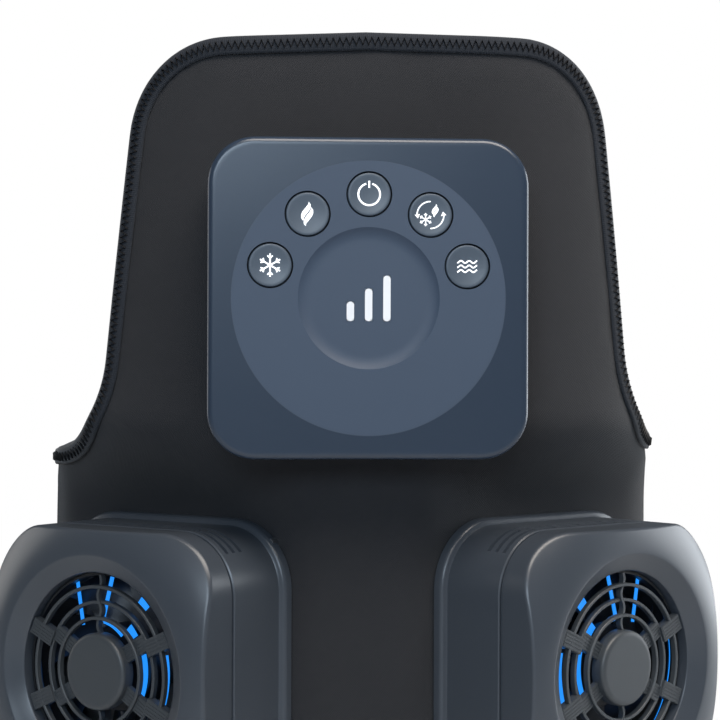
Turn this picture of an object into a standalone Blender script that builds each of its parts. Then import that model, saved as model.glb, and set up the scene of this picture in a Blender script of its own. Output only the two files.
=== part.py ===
"""Hot and cold therapy wrap for a knee: a soft wrap, a control and two fan-cooled plates.

The origin is on the leg's axis, level with the middle of the plates. Front is -Y and up is +Z.
Lengths are in metres. Distances along the wrap run round the leg from the middle of its front.
"""
import math

import bmesh
import bpy
from mathutils import Vector

# Clearances and tool overruns
GAP = 0.0003
SOFT_GAP = 0.0005
OVERRUN = 0.002
MERGE = 0.00001
SAME_PLACE = 0.00002
EDGE_ANGLE = 32
SOFT_ANGLE = 60

# Wrap sheet and the outline it is cut to
WRAP_THICKNESS = 0.004
WRAP_FRONT = 0.0605
TONGUE_TOP = 0.1516
TONGUE_CORNER_DROP = 0.0016
TONGUE_HALF_TOP = 0.0575
TONGUE_HALF_FOOT = 0.071
TONGUE_CORNER_RADIUS = 0.026
WING_TOP_ROOT = 0.0535
WING_ROOT_RADIUS = 0.026
WING_TOP_END = 0.046
WING_REACH = 0.178
WING_CORNER_RADIUS = 0.014
SHEET_STEP = 0.0115
BLEND_STEP = 0.008
CORNER_STEPS = 6

# Shape of the leg at the knee, as runs and bends from the middle of the front to the back
KNEE_FLAT_HALF = 0.0096
KNEE_BEND_RADIUS = 0.013
PLATE_ANGLE = math.radians(37.4)
SIDE_BEND_RADIUS = 0.023
SIDE_RUN = 0.004
BACK_BEND_RADIUS = 0.045

# Shape above and below the knee, and how the knee's shape passes into it
THIGH_FLAT_HALF = 0.026
THIGH_RADIUS = 0.054
BLEND_FROM = 0.036
SIDE_BLEND_FROM = 0.09
SIDE_BLEND_RUN = 0.025

# Edge binding
BINDING_WIDTH = 0.0044
BINDING_PROUD = 0.0007
BINDING_GAP = 0.0014

# Straps, with their hook tabs and loop patches
STRAP_WIDTH = 0.033
STRAP_HEIGHT = 0.024
STRAP_THICKNESS = 0.0018
STRAP_ROOT = 0.158
STRAP_SEWN_LENGTH = 0.032
STRAP_TIP = 0.13
STRAP_TIP_RADIUS = 0.008
STRAP_ROOT_RUN = 0.003
STRAP_RISE_RUN = 0.005
STRAP_STEP = 0.0075
STRAP_CLIMB_FROM = 0.06
STRAP_CLIMB_RUN = 0.04
PATCH_THICKNESS = 0.001
LOOP_PATCH_FROM = 0.124
LOOP_PATCH_TO = 0.168
LOOP_PATCH_WIDTH = 0.034
HOOK_TAB_LENGTH = 0.036
HOOK_TAB_WIDTH = 0.029

# Side module, heights measured out from the wrap's face
MODULE_WIDTH = 0.067
MODULE_CORNER_RADIUS = 0.015
MODULE_CORNER_STEPS = 4
OPENING_HEIGHT = 0.0303
OPENING_RADIUS = 0.0233
DISH_RADIUS = 0.0276
DISH_RISE = 0.0026
DOME_RADIUS = 0.0182
DOME_REACH_SHARE = 0.75
DOME_STEP = 0.0033
MODULE_WALL = 0.0022
FACE_THICKNESS = 0.0045
HOUSING_HEIGHT = 0.0207
HOUSING_FLOOR = 0.002
FLANGE_HEIGHT = 0.0033
FLANGE_STEP = 0.0016
TRIM_THICKNESS = 0.0006
TRIM_INSET = 0.0005
TRIM_WIDTH = 0.0024
TURN_STEPS = 28
SMALL_TURN_STEPS = 18
SMALL_CORNER_STEPS = 3
GRILLE_STEPS = 22
DOME_STEPS = 32
ROTOR_STEPS = 22

# Vent slots in the housing's top and bottom walls
VENT_WIDTH = 0.0011
VENT_PITCH = 0.0025
VENT_FROM_SEAM = 0.0022
VENT_END = 0.003
VENT_SINK = 0.006
VENT_BRIDGE = 0.0018
VENT_BREAK_SHARES = ((-0.36, 0.36), (-0.68, 0.0, 0.68), (-0.36, 0.36))

# Grille
GRILLE_PLATE = 0.0014
GRILLE_PLATE_SINK = 0.0009
GRILLE_FLANGE_RADIUS = 0.025
GRILLE_FLANGE = 0.0014
GRILLE_RIM_WALL = 0.0011
HUB_RADIUS = 0.0091
HUB_PROUD = 0.0008
HUB_EDGE = 0.0006
RING_WIDTH = 0.0008
RING_RADII = (0.0125, 0.0162, 0.0199)
RING_WAVE = 0.0004
SPOKE_WIDTH = 0.004
RIB_WIDTH = 0.0008
SPOKE_ANGLES = (27.0, 153.0, 207.0, 333.0)
RIB_ANGLES = (90.0, 270.0)

# Light ring behind the grille
LIGHT_RING_THICKNESS = 0.001
LIGHT_RING_INNER = 0.0237
LIGHT_RING_OUTER = 0.029

# Fan
FAN_WIDTH = 0.05
FAN_DEPTH = 0.01
FAN_CORNER = 0.003
FAN_BORE = 0.0238
FAN_TIP_GAP = 0.0006
FAN_SCREW_OFFSET = 0.02
FAN_SCREW_HOLE = 0.0019
FAN_STRUT_WIDTH = 0.002
FAN_STRUT_DEPTH = 0.0012
STATOR_RADIUS = 0.0093
STATOR_TOP_DROP = 0.0024
ROTOR_WALL = 0.0009
ROTOR_TOP_DROP = 0.001
ROTOR_FOOT_RISE = 0.002
SHAFT_RADIUS = 0.001
BLADE_COUNT = 7
BLADE_THICKNESS = 0.0008
BLADE_SPAN = math.radians(34)
BLADE_SWEEP = math.radians(18)
BLADE_DEPTH = 0.0064

# Heat sink and cold side
SINK_MARGIN = 0.0055
SINK_BASE = 0.003
SINK_CORNER = 0.004
SINK_FIN = 0.008
SINK_FIN_COUNT = 7
SINK_FIN_INSET = 0.0019
PELTIER_WIDTH = 0.04
PELTIER_THICKNESS = 0.0034
COLD_SIDE_MARGIN = 0.007
COLD_SIDE_CORNER = 0.006
COLD_PLATE_THICKNESS = 0.0049
CLAMP_FRAME_MARGIN = 0.0005
CLAMP_FRAME_THICKNESS = 0.0015
CLAMP_FRAME_CORNER = 0.01
SCREW_MARGIN = 0.0037
SCREW_RADIUS = 0.001
SCREW_HEAD_RADIUS = 0.0018
SCREW_HEAD_HEIGHT = 0.0012
SCREW_STEPS = 10

# Control, depths measured in from its front face
CONTROL_WIDTH = 0.074
CONTROL_FRONT = 0.0762
CONTROL_HEIGHT = 0.0876
CONTROL_CORNER_RADIUS = 0.011
CONTROL_EDGE = 0.0015
CONTROL_CORNER_STEPS = 6
CONTROL_WALL = 0.002
COVER_DEPTH = 0.0094
BACK_SHELL_INSET = 0.0008
BACK_SHELL_DEPTH = 0.0045
BACK_SHELL_FLOOR = 0.0018
RECESS_RADIUS = 0.0163
RECESS_DEPTH = 0.001
RECESS_FILLET = 0.0042
RECESS_STEP_SHARE = 0.33
PAD_WIDTH = 0.068
PAD_REACH = 0.006
PAD_CORNER = 0.009
FACE_REACH_SHARE = 0.85

# Buttons
BUTTON_RING_RADIUS = 0.02385
BUTTON_RADIUS = 0.005
BUTTON_ANGLES = (-71.8, -36.3, 0.0, 36.3, 71.8)
BUTTON_NAMES = ("cold_button", "heat_button", "power_button", "contrast_button", "vibration_button")
BUTTON_SINK = 0.00015
BUTTON_DISH = 0.0004
BUTTON_EDGE = 0.0004
BUTTON_FLANGE = 0.0006
BUTTON_TRAVEL_ROOM = 0.0008
BUTTON_STEPS = 16

# Inside the control
MAT_WIDTH = 0.062
MAT_THICKNESS = 0.0008
BOARD_WIDTH = 0.064
BOARD_THICKNESS = 0.0012
BOARD_CORNER = 0.006
BATTERY_WIDTH = 0.05
BATTERY_HEIGHT = 0.034
BATTERY_THICKNESS = 0.0058
BATTERY_CORNER = 0.0015
BATTERY_RAISE = 0.013
MOTOR_RADIUS = 0.0029
MOTOR_LENGTH = 0.01
MOTOR_DROP = 0.021
MOTOR_SHAFT_RADIUS = 0.0005
WEIGHT_RADIUS = 0.0026
WEIGHT_LENGTH = 0.004
PORT_WIDTH = 0.009
PORT_THICKNESS = 0.0028
PORT_LENGTH = 0.0073
PORT_WALL = 0.0004
GUIDE_RADIUS = 0.0085
GUIDE_THICKNESS = 0.0011
BAR_WIDTH = 0.0017
BAR_PITCH = 0.0042
BAR_HEIGHTS = (0.0045, 0.0075, 0.0105)
CLAMP_PLATE_WIDTH = 0.054
CLAMP_PLATE_THICKNESS = 0.0015
CLAMP_PLATE_CORNER = 0.006
CONTROL_SCREW_OFFSET = 0.021
CONTROL_SCREW_RADIUS = 0.0012

# Sizes that follow the module's width and the control's height
PLATE_MARGIN = 0.0005
PLATE_RUN = MODULE_WIDTH + 2 * PLATE_MARGIN
VENT_REACH = MODULE_WIDTH / 2 - VENT_END
VENT_DEPTH = MODULE_WIDTH / 2 - VENT_SINK
SINK_WIDTH = MODULE_WIDTH - 2 * SINK_MARGIN
COLD_SIDE_WIDTH = MODULE_WIDTH - 2 * COLD_SIDE_MARGIN
CLAMP_FRAME_WIDTH = MODULE_WIDTH - 2 * CLAMP_FRAME_MARGIN
SCREW_OFFSET = MODULE_WIDTH / 2 - SCREW_MARGIN
CLAMP_CLEARANCE = 0.0006
BLEND_HEIGHT = CONTROL_HEIGHT - CLAMP_PLATE_WIDTH / 2 - CLAMP_CLEARANCE - BLEND_FROM

# Flat cables on the wrap's inner face
CABLE_WIDTH = 0.007
CABLE_THICKNESS = 0.0008
CABLE_GAP = 0.001
CABLE_START = 0.012
CABLE_END = 0.046
CABLE_STRAIGHT = 0.004

# Finishes: linear colour, roughness and metallic value
FINISHES = {
    "neoprene": ((0.033, 0.035, 0.041), 0.9, 0.0),
    "binding tape": ((0.03, 0.034, 0.043), 0.8, 0.0),
    "elastic webbing": ((0.022, 0.023, 0.026), 0.85, 0.0),
    "hook and loop tape": ((0.015, 0.016, 0.018), 0.95, 0.0),
    "flat cable": ((0.012, 0.013, 0.015), 0.6, 0.0),
    "control shell": ((0.075, 0.1, 0.135), 0.42, 0.0),
    "button": ((0.075, 0.1, 0.135), 0.38, 0.0),
    "light guide": ((0.9, 0.9, 0.92), 0.4, 0.0),
    "blue light": ((0.05, 0.35, 0.9), 0.4, 0.0),
    "module shell": ((0.07, 0.078, 0.09), 0.35, 0.0),
    "trim": ((0.012, 0.013, 0.015), 0.3, 0.0),
    "fan plastic": ((0.012, 0.013, 0.015), 0.45, 0.0),
    "clamp plastic": ((0.012, 0.013, 0.015), 0.5, 0.0),
    "keypad rubber": ((0.012, 0.013, 0.015), 0.7, 0.0),
    "foam": ((0.05, 0.05, 0.055), 0.95, 0.0),
    "board": ((0.02, 0.12, 0.06), 0.5, 0.0),
    "battery foil": ((0.5, 0.5, 0.52), 0.4, 1.0),
    "ceramic": ((0.8, 0.8, 0.78), 0.5, 0.0),
    "aluminium": ((0.6, 0.61, 0.63), 0.35, 1.0),
    "steel": ((0.5, 0.5, 0.52), 0.3, 1.0),
}

parts = None
cutters = None


def clear_scene():
    for item in list(bpy.data.objects):
        bpy.data.objects.remove(item, do_unlink=True)


def new_collection(name):
    collection = bpy.data.collections.new(name)
    bpy.context.scene.collection.children.link(collection)
    return collection


def material(name):
    made = bpy.data.materials.get(name)
    if made is None:
        colour, roughness, metallic = FINISHES[name]
        made = bpy.data.materials.new(name)
        made.use_nodes = True
        shader = made.node_tree.nodes["Principled BSDF"]
        shader.inputs["Base Color"].default_value = (*colour, 1.0)
        shader.inputs["Roughness"].default_value = roughness
        shader.inputs["Metallic"].default_value = metallic
    return made


def place(name, bm, finish=None, parent=None, location=(0, 0, 0), rotation=(0, 0, 0), tool=False):
    """Make an object of a bmesh, as a part or as a cutter."""
    mesh = bpy.data.meshes.new(name)
    bm.to_mesh(mesh)
    bm.free()
    made = bpy.data.objects.new(name, mesh)
    (cutters if tool else parts).objects.link(made)
    made.parent = parent
    made.location = location
    made.rotation_euler = rotation
    if tool:
        made.hide_render = True
        made.display_type = "WIRE"
    else:
        mesh.materials.append(finish)
    return made


def boolean(target, tool, operation):
    modifier = target.modifiers.new(tool.name, "BOOLEAN")
    modifier.operation = operation
    modifier.object = tool
    modifier.solver = "EXACT"


def cut(target, tool):
    boolean(target, tool, "DIFFERENCE")


def join(target, tool):
    boolean(target, tool, "UNION")


def smooth(made, angle=EDGE_ANGLE):
    made.data.shade_smooth()
    made.data.set_sharp_from_angle(angle=math.radians(angle))


def block(width, height, depth, corner=0.0, steps=5, edge=0.0, edge_steps=2, front=0.0, shift=(0, 0)):
    """A plate across X and Z from y = front to front + depth, with its front edge rounded."""
    bm = bmesh.new()
    bmesh.ops.create_cube(bm, size=1.0)
    bmesh.ops.scale(bm, vec=(width, depth, height), verts=bm.verts)
    if corner:
        upright = [e for e in bm.edges if abs(e.verts[0].co.y - e.verts[1].co.y) > depth / 2]
        bmesh.ops.bevel(bm, geom=upright, offset=corner, offset_type="OFFSET", segments=steps,
                        profile=0.5, affect="EDGES", material=-1)
    if edge:
        rim = [e for e in bm.edges if max(v.co.y for v in e.verts) < SAME_PLACE - depth / 2]
        bmesh.ops.bevel(bm, geom=rim, offset=edge, offset_type="OFFSET", segments=edge_steps,
                        profile=0.5, affect="EDGES", material=-1)
    bmesh.ops.translate(bm, vec=(shift[0], front + depth / 2, shift[1]), verts=bm.verts)
    return bm


def rod(radius, length, steps, start=0.0, shift=(0, 0)):
    """A round bar along Y from y = start."""
    bm = bmesh.new()
    bmesh.ops.create_cone(bm, cap_ends=True, segments=steps, radius1=radius, radius2=radius,
                          depth=length)
    turn_to_front(bm)
    bmesh.ops.translate(bm, vec=(shift[0], start + length / 2, shift[1]), verts=bm.verts)
    return bm


def turn_to_front(bm):
    """Turn what was made along Z so that its top faces -Y."""
    for vert in bm.verts:
        vert.co = Vector((vert.co.x, -vert.co.z, vert.co.y))


def profile_mesh(points, closed):
    bm = bmesh.new()
    verts = [bm.verts.new((radius, 0, height)) for radius, height in points]
    for first, second in zip(verts, verts[1:]):
        bm.edges.new((first, second))
    if closed:
        bm.edges.new((verts[-1], verts[0]))
    return bm


def turned(name, points, finish=None, parent=None, steps=TURN_STEPS, closed=False, location=(0, 0, 0),
           tool=False):
    """A turned piece from (radius, height) points, with its height towards -Y."""
    made = place(name, profile_mesh(points, closed), finish, parent, location,
                 (math.radians(90), 0, 0), tool)
    screw = made.modifiers.new("turn", "SCREW")
    screw.axis = "Z"
    screw.angle = math.radians(360)
    screw.steps = steps
    screw.render_steps = steps
    screw.use_merge_vertices = True
    screw.merge_threshold = MERGE
    screw.use_normal_calculate = False
    return made


def add_bm(target, source):
    """Add one bmesh to another as separate solids."""
    mesh = bpy.data.meshes.new("joined")
    source.to_mesh(mesh)
    source.free()
    target.from_mesh(mesh)
    bpy.data.meshes.remove(mesh)


# The wrap's surface


def ease(share):
    share = min(max(share, 0.0), 1.0)
    return share * share * (3 - 2 * share)


def leg_runs():
    """Lengths and bend radii round half of the knee, from the front to the back."""
    rest = math.pi / 2 - PLATE_ANGLE
    return [(KNEE_FLAT_HALF, 0.0), (KNEE_BEND_RADIUS * PLATE_ANGLE, KNEE_BEND_RADIUS),
            (PLATE_RUN, 0.0), (SIDE_BEND_RADIUS * rest, SIDE_BEND_RADIUS), (SIDE_RUN, 0.0),
            (BACK_BEND_RADIUS * math.pi / 2, BACK_BEND_RADIUS)]


def walk(runs, distance):
    """Where a walk along the runs ends. What is left after the last run goes straight on."""
    x, y, heading = 0.0, -WRAP_FRONT, 0.0
    for length, radius in runs:
        step = min(distance, length)
        if radius:
            turned_to = heading + step / radius
            x += radius * (math.sin(turned_to) - math.sin(heading))
            y += radius * (math.cos(heading) - math.cos(turned_to))
            heading = turned_to
        else:
            x += step * math.cos(heading)
            y += step * math.sin(heading)
        distance -= step
        if distance <= 0:
            return Vector((x, y))
    return Vector((x + distance * math.cos(heading), y + distance * math.sin(heading)))


RUNS = leg_runs()
ARC_END = sum(length for length, radius in RUNS)
HALF_GIRTH = ARC_END + walk(RUNS, ARC_END).x


def knee_point(distance):
    """A point on the knee's outline. Past the middle of the back it comes round on the other side."""
    if distance > HALF_GIRTH:
        distance -= 2 * HALF_GIRTH
    if distance < -HALF_GIRTH:
        distance += 2 * HALF_GIRTH
    point = walk(RUNS, abs(distance))
    return Vector((math.copysign(point.x, distance), point.y))


def thigh_point(distance):
    over = abs(distance) - THIGH_FLAT_HALF
    if over <= 0:
        return Vector((distance, -WRAP_FRONT))
    angle = over / THIGH_RADIUS
    x = THIGH_FLAT_HALF + THIGH_RADIUS * math.sin(angle)
    return Vector((math.copysign(x, distance), -WRAP_FRONT + THIGH_RADIUS * (1 - math.cos(angle))))


def wrap_point(distance, height):
    """The wrap's outer face at a distance round the leg and a height."""
    knee = knee_point(distance)
    up = ease((abs(height) - BLEND_FROM) / BLEND_HEIGHT)
    across = 1 - ease((abs(distance) - SIDE_BLEND_FROM) / SIDE_BLEND_RUN)
    if up * across > 0:
        knee = knee.lerp(thigh_point(distance), up * across)
    return Vector((knee.x, knee.y, height))


def wrap_normal(distance, height):
    near = WRAP_THICKNESS / 10
    along = wrap_point(distance + near, height) - wrap_point(distance - near, height)
    upward = wrap_point(distance, height + near) - wrap_point(distance, height - near)
    return along.cross(upward).normalized()


def rounded_outline(corners, steps=CORNER_STEPS):
    """Points round an outline whose corners are (distance, height, radius)."""
    points = []
    count = len(corners)
    for index, (distance, height, radius) in enumerate(corners):
        here = Vector((distance, height))
        before = (Vector(corners[index - 1][:2]) - here).normalized()
        after = (Vector(corners[(index + 1) % count][:2]) - here).normalized()
        if not radius:
            points.append(here)
            continue
        half = before.angle(after) / 2
        centre = here + (before + after).normalized() * (radius / math.sin(half))
        start = here + before * (radius / math.tan(half)) - centre
        end = here + after * (radius / math.tan(half)) - centre
        turn = start.angle_signed(end)
        for step in range(steps + 1):
            angle = -turn * step / steps
            cos, sin = math.cos(angle), math.sin(angle)
            points.append(centre + Vector((start.x * cos - start.y * sin,
                                           start.x * sin + start.y * cos)))
    return points


def wrap_outline():
    quarter = [(TONGUE_HALF_TOP, TONGUE_TOP - TONGUE_CORNER_DROP, TONGUE_CORNER_RADIUS),
               (TONGUE_HALF_FOOT, WING_TOP_ROOT, WING_ROOT_RADIUS),
               (WING_REACH, WING_TOP_END, WING_CORNER_RADIUS)]
    right = [(0.0, TONGUE_TOP, 0.0)] + quarter
    right += [(x, -z, radius) for x, z, radius in reversed(quarter)] + [(0.0, -TONGUE_TOP, 0.0)]
    left = [(-x, z, radius) for x, z, radius in reversed(right[1:-1])]
    return rounded_outline(right + left)


def flat_sheet(outline):
    """One face across X and Z, seen from the front."""
    bm = bmesh.new()
    face = bm.faces.new([bm.verts.new((point.x, 0, point.y)) for point in outline])
    face.normal_update()
    if face.normal.y > 0:
        face.normal_flip()
    return bm


def slice_sheet(bm, distances, heights):
    """Cut a flat sheet into cells, so that it can bend."""
    for normal, values in (((1, 0, 0), distances), ((0, 0, 1), heights)):
        for value in values:
            bmesh.ops.bisect_plane(bm, geom=bm.verts[:] + bm.edges[:] + bm.faces[:], dist=MERGE,
                                   plane_co=Vector(normal) * value, plane_no=normal)


def spaced(start, end, step):
    count = max(1, round((end - start) / step))
    return [start + (end - start) * index / count for index in range(count + 1)]


def blend_heights():
    upper = spaced(BLEND_FROM, BLEND_FROM + BLEND_HEIGHT, BLEND_STEP)
    return [-height for height in upper] + upper


def bend(bm, thickness, raised=0.0, lift=None):
    """Lay a flat sheet on the leg as a solid, raised by a distance or by a function of the way round."""
    made = bmesh.ops.extrude_face_region(bm, geom=bm.faces[:])
    inner = {item for item in made["geom"] if isinstance(item, bmesh.types.BMVert)}
    for vert in bm.verts:
        distance, height = vert.co.x, vert.co.z
        out = lift(distance) if lift else raised
        if vert in inner:
            out -= thickness
        vert.co = wrap_point(distance, height) + wrap_normal(distance, height) * out
    bmesh.ops.recalc_face_normals(bm, faces=bm.faces[:])
    if bm.calc_volume(signed=True) < 0:
        bmesh.ops.reverse_faces(bm, faces=bm.faces[:])


# Wrap, binding and straps


def make_wrap():
    bm = flat_sheet(wrap_outline())
    bmesh.ops.inset_region(bm, faces=bm.faces[:], thickness=BINDING_WIDTH + BINDING_GAP, depth=0,
                           use_even_offset=True, use_boundary=True)
    inner = max(bm.faces, key=lambda face: len(face.verts))
    outer = [face for face in bm.faces if face is not inner]
    bmesh.ops.delete(bm, geom=outer, context="FACES")
    slice_sheet(bm, spaced(-WING_REACH, WING_REACH, SHEET_STEP), blend_heights())
    bend(bm, WRAP_THICKNESS)
    wrap = place("wrap_body", bm, material("neoprene"))
    smooth(wrap, SOFT_ANGLE)
    return wrap


def make_binding():
    bm = flat_sheet(wrap_outline())
    bmesh.ops.inset_region(bm, faces=bm.faces[:], thickness=BINDING_WIDTH, depth=0,
                           use_even_offset=True, use_boundary=True)
    inner = max(bm.faces, key=lambda face: len(face.verts))
    bmesh.ops.delete(bm, geom=[inner], context="FACES")
    slice_sheet(bm, spaced(-WING_REACH, WING_REACH, SHEET_STEP), blend_heights())
    bend(bm, WRAP_THICKNESS + 2 * BINDING_PROUD, raised=BINDING_PROUD)
    binding = place("edge_binding", bm, material("binding tape"))
    smooth(binding, SOFT_ANGLE)


def strip(start, end, width, height, tip=0.0):
    """The outline of a strip round the leg. Its far end is rounded by the tip radius."""
    low, high = height - width / 2, height + width / 2
    return rounded_outline([(start, high, 0.0), (end, high, tip), (end, low, tip), (start, low, 0.0)],
                           steps=4)


def strap_lift(distance):
    """How far the strap's outer face stands off the wrap on its way round the back."""
    way = abs(distance) - STRAP_ROOT
    patches = 2 * (SOFT_GAP + PATCH_THICKNESS)
    rise = (BINDING_PROUD + GAP) * ease((way - STRAP_ROOT_RUN) / STRAP_RISE_RUN)
    climb = (patches - BINDING_PROUD - GAP) * ease((way - STRAP_CLIMB_FROM) / STRAP_CLIMB_RUN)
    return SOFT_GAP + rise + climb + STRAP_THICKNESS


def make_straps():
    webbing = material("elastic webbing")
    tape = material("hook and loop tape")
    tip = -(2 * HALF_GIRTH - STRAP_TIP)
    for name, side in (("upper", 1), ("lower", -1)):
        height = side * STRAP_HEIGHT
        hinge = bpy.data.objects.new(name + "_strap_hinge", None)
        parts.objects.link(hinge)
        outside = SOFT_GAP + STRAP_THICKNESS
        root = wrap_point(-STRAP_ROOT, height) + wrap_normal(-STRAP_ROOT, height) * outside
        hinge.location = root

        sewn_end = flat_sheet(strip(-STRAP_ROOT + GAP, STRAP_SEWN_LENGTH - STRAP_ROOT, STRAP_WIDTH, height))
        slice_sheet(sewn_end, spaced(-STRAP_ROOT, STRAP_SEWN_LENGTH - STRAP_ROOT, STRAP_STEP), [])
        bend(sewn_end, STRAP_THICKNESS, raised=outside - GAP / 2)
        smooth(place(name + "_strap_root", sewn_end, webbing), SOFT_ANGLE)

        bm = flat_sheet(strip(-STRAP_ROOT, tip, STRAP_WIDTH, height, STRAP_TIP_RADIUS))
        slice_sheet(bm, spaced(tip, -STRAP_ROOT, STRAP_STEP), [])
        bend(bm, STRAP_THICKNESS, lift=strap_lift)
        bmesh.ops.translate(bm, vec=-root, verts=bm.verts)
        strap = place(name + "_strap", bm, webbing, hinge)
        smooth(strap, SOFT_ANGLE)

        hook_start = tip + HOOK_TAB_LENGTH
        under = SOFT_GAP + PATCH_THICKNESS + SOFT_GAP - GAP
        bm = flat_sheet(strip(tip + STRAP_TIP_RADIUS / 2, hook_start, HOOK_TAB_WIDTH, height))
        slice_sheet(bm, spaced(tip, hook_start, STRAP_STEP), [])
        bend(bm, PATCH_THICKNESS, raised=under + PATCH_THICKNESS)
        bmesh.ops.translate(bm, vec=-root, verts=bm.verts)
        tab = place(name + "_hook_tab", bm, tape, hinge)
        smooth(tab, SOFT_ANGLE)

        bm = flat_sheet(strip(LOOP_PATCH_FROM, LOOP_PATCH_TO, LOOP_PATCH_WIDTH, height))
        slice_sheet(bm, spaced(LOOP_PATCH_FROM, LOOP_PATCH_TO, STRAP_STEP), [])
        bend(bm, PATCH_THICKNESS, raised=SOFT_GAP - GAP / 2 + PATCH_THICKNESS)
        patch = place(name + "_loop_patch", bm, tape)
        smooth(patch, SOFT_ANGLE)


def make_cables():
    """Flat cables from the control's clamp plate to each module, on the wrap's inner face."""
    ribbon = material("flat cable")
    half = CABLE_WIDTH / 2
    top = CONTROL_HEIGHT - CLAMP_PLATE_WIDTH / 2 - GAP
    foot = CLAMP_FRAME_WIDTH / 2 + GAP
    for name, side in (("left", -1), ("right", 1)):
        near = [(CABLE_START - half, top), (CABLE_START + half, top),
                (CABLE_START + half, top - CABLE_STRAIGHT), (CABLE_END + half, foot + CABLE_STRAIGHT),
                (CABLE_END + half, foot), (CABLE_END - half, foot),
                (CABLE_END - half, foot + CABLE_STRAIGHT), (CABLE_START - half, top - CABLE_STRAIGHT)]
        bm = flat_sheet([Vector((side * x, z)) for x, z in near])
        slice_sheet(bm, spaced(-CABLE_END, CABLE_END, SHEET_STEP), spaced(foot, top, BLEND_STEP))
        bend(bm, CABLE_THICKNESS, raised=-(WRAP_THICKNESS + CABLE_GAP))
        place(name + "_cable", bm, ribbon)


# Control


def control_frame():
    frame = bpy.data.objects.new("control_frame", None)
    parts.objects.link(frame)
    frame.location = (0, -CONTROL_FRONT, CONTROL_HEIGHT)
    return frame


def button_places():
    for name, degrees in zip(BUTTON_NAMES, BUTTON_ANGLES):
        angle = math.radians(degrees)
        yield name, BUTTON_RING_RADIUS * math.sin(angle), BUTTON_RING_RADIUS * math.cos(angle)


def bar_places():
    middle = (len(BAR_HEIGHTS) - 1) / 2
    for index, height in enumerate(BAR_HEIGHTS):
        yield BAR_PITCH * (index - middle), height


def make_control_cover(frame):
    grey = material("control shell")
    cover = place("control_front_cover",
                  block(CONTROL_WIDTH, CONTROL_WIDTH, COVER_DEPTH, CONTROL_CORNER_RADIUS,
                        CONTROL_CORNER_STEPS, CONTROL_EDGE, 2), grey, frame)
    inner = CONTROL_WIDTH - 2 * CONTROL_WALL
    hollow = place("cover_hollow",
                   block(inner, inner, COVER_DEPTH, CONTROL_CORNER_RADIUS - CONTROL_WALL,
                         CONTROL_CORNER_STEPS, front=CONTROL_WALL), parent=frame, tool=True)
    cut(cover, hollow)

    bowl = [(0, OVERRUN), (RECESS_RADIUS, OVERRUN)]
    for share in spaced(0, 1, RECESS_STEP_SHARE):
        bowl.append((RECESS_RADIUS - RECESS_FILLET * share, -RECESS_DEPTH * ease(share)))
    recess = turned("cover_recess", bowl + [(0, -RECESS_DEPTH)], parent=frame, steps=TURN_STEPS,
                    tool=True)
    cut(cover, recess)

    holes = bmesh.new()
    for _, x, z in button_places():
        add_bm(holes, rod(BUTTON_RADIUS + GAP, CONTROL_WALL + 2 * OVERRUN, BUTTON_STEPS,
                          -OVERRUN, (x, z)))
    cut(cover, place("cover_button_holes", holes, parent=frame, tool=True))

    slots = bmesh.new()
    tallest = max(BAR_HEIGHTS)
    for x, height in bar_places():
        add_bm(slots, block(BAR_WIDTH + 2 * GAP, height + 2 * GAP, CONTROL_WALL + 2 * OVERRUN,
                            front=-OVERRUN, shift=(x, (height - tallest) / 2)))
    cut(cover, place("cover_light_slots", slots, parent=frame, tool=True))

    port_front = port_depth() - GAP
    notch = block(PORT_WIDTH + 2 * GAP, 2 * CONTROL_WALL, COVER_DEPTH - port_front + OVERRUN,
                  front=port_front, shift=(0, -CONTROL_WIDTH / 2))
    cut(cover, place("cover_port_notch", notch, parent=frame, tool=True))
    smooth(cover)


def mat_depth():
    return CONTROL_WALL + GAP + BUTTON_FLANGE + BUTTON_TRAVEL_ROOM


def board_depth():
    return mat_depth() + MAT_THICKNESS + GAP


def port_depth():
    return board_depth() + BOARD_THICKNESS + GAP


def back_shell_front():
    return COVER_DEPTH + GAP


def fabric_depth():
    """Depth of the wrap's outer face behind the control's front."""
    return CONTROL_FRONT - WRAP_FRONT


def clamp_plate_depth():
    return fabric_depth() + WRAP_THICKNESS + GAP


def make_buttons(frame):
    finish = material("button")
    top = -BUTTON_SINK
    foot = -(CONTROL_WALL + GAP + BUTTON_FLANGE)
    for name, x, z in button_places():
        dish = BUTTON_RADIUS - BUTTON_EDGE
        points = [(0, top - BUTTON_DISH), (dish / 2, top - BUTTON_DISH * 3 / 4), (dish, top),
                  (BUTTON_RADIUS, top - BUTTON_EDGE), (BUTTON_RADIUS, foot + BUTTON_FLANGE),
                  (BUTTON_RADIUS + 2 * BUTTON_FLANGE, foot + BUTTON_FLANGE),
                  (BUTTON_RADIUS + 2 * BUTTON_FLANGE, foot), (0, foot)]
        button = turned(name, points, finish, frame, BUTTON_STEPS, location=(x, 0, z))
        smooth(button)


def make_light_guide(frame):
    depth = CONTROL_WALL + GAP
    tallest = max(BAR_HEIGHTS)
    guide = place("level_light", rod(GUIDE_RADIUS, GUIDE_THICKNESS, TURN_STEPS, depth),
                  material("light guide"), frame)
    bars = bmesh.new()
    for x, height in bar_places():
        add_bm(bars, block(BAR_WIDTH, height, depth + GUIDE_THICKNESS / 2 - RECESS_DEPTH,
                           front=RECESS_DEPTH, shift=(x, (height - tallest) / 2)))
    join(guide, place("light_bars", bars, parent=frame, tool=True))


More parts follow.
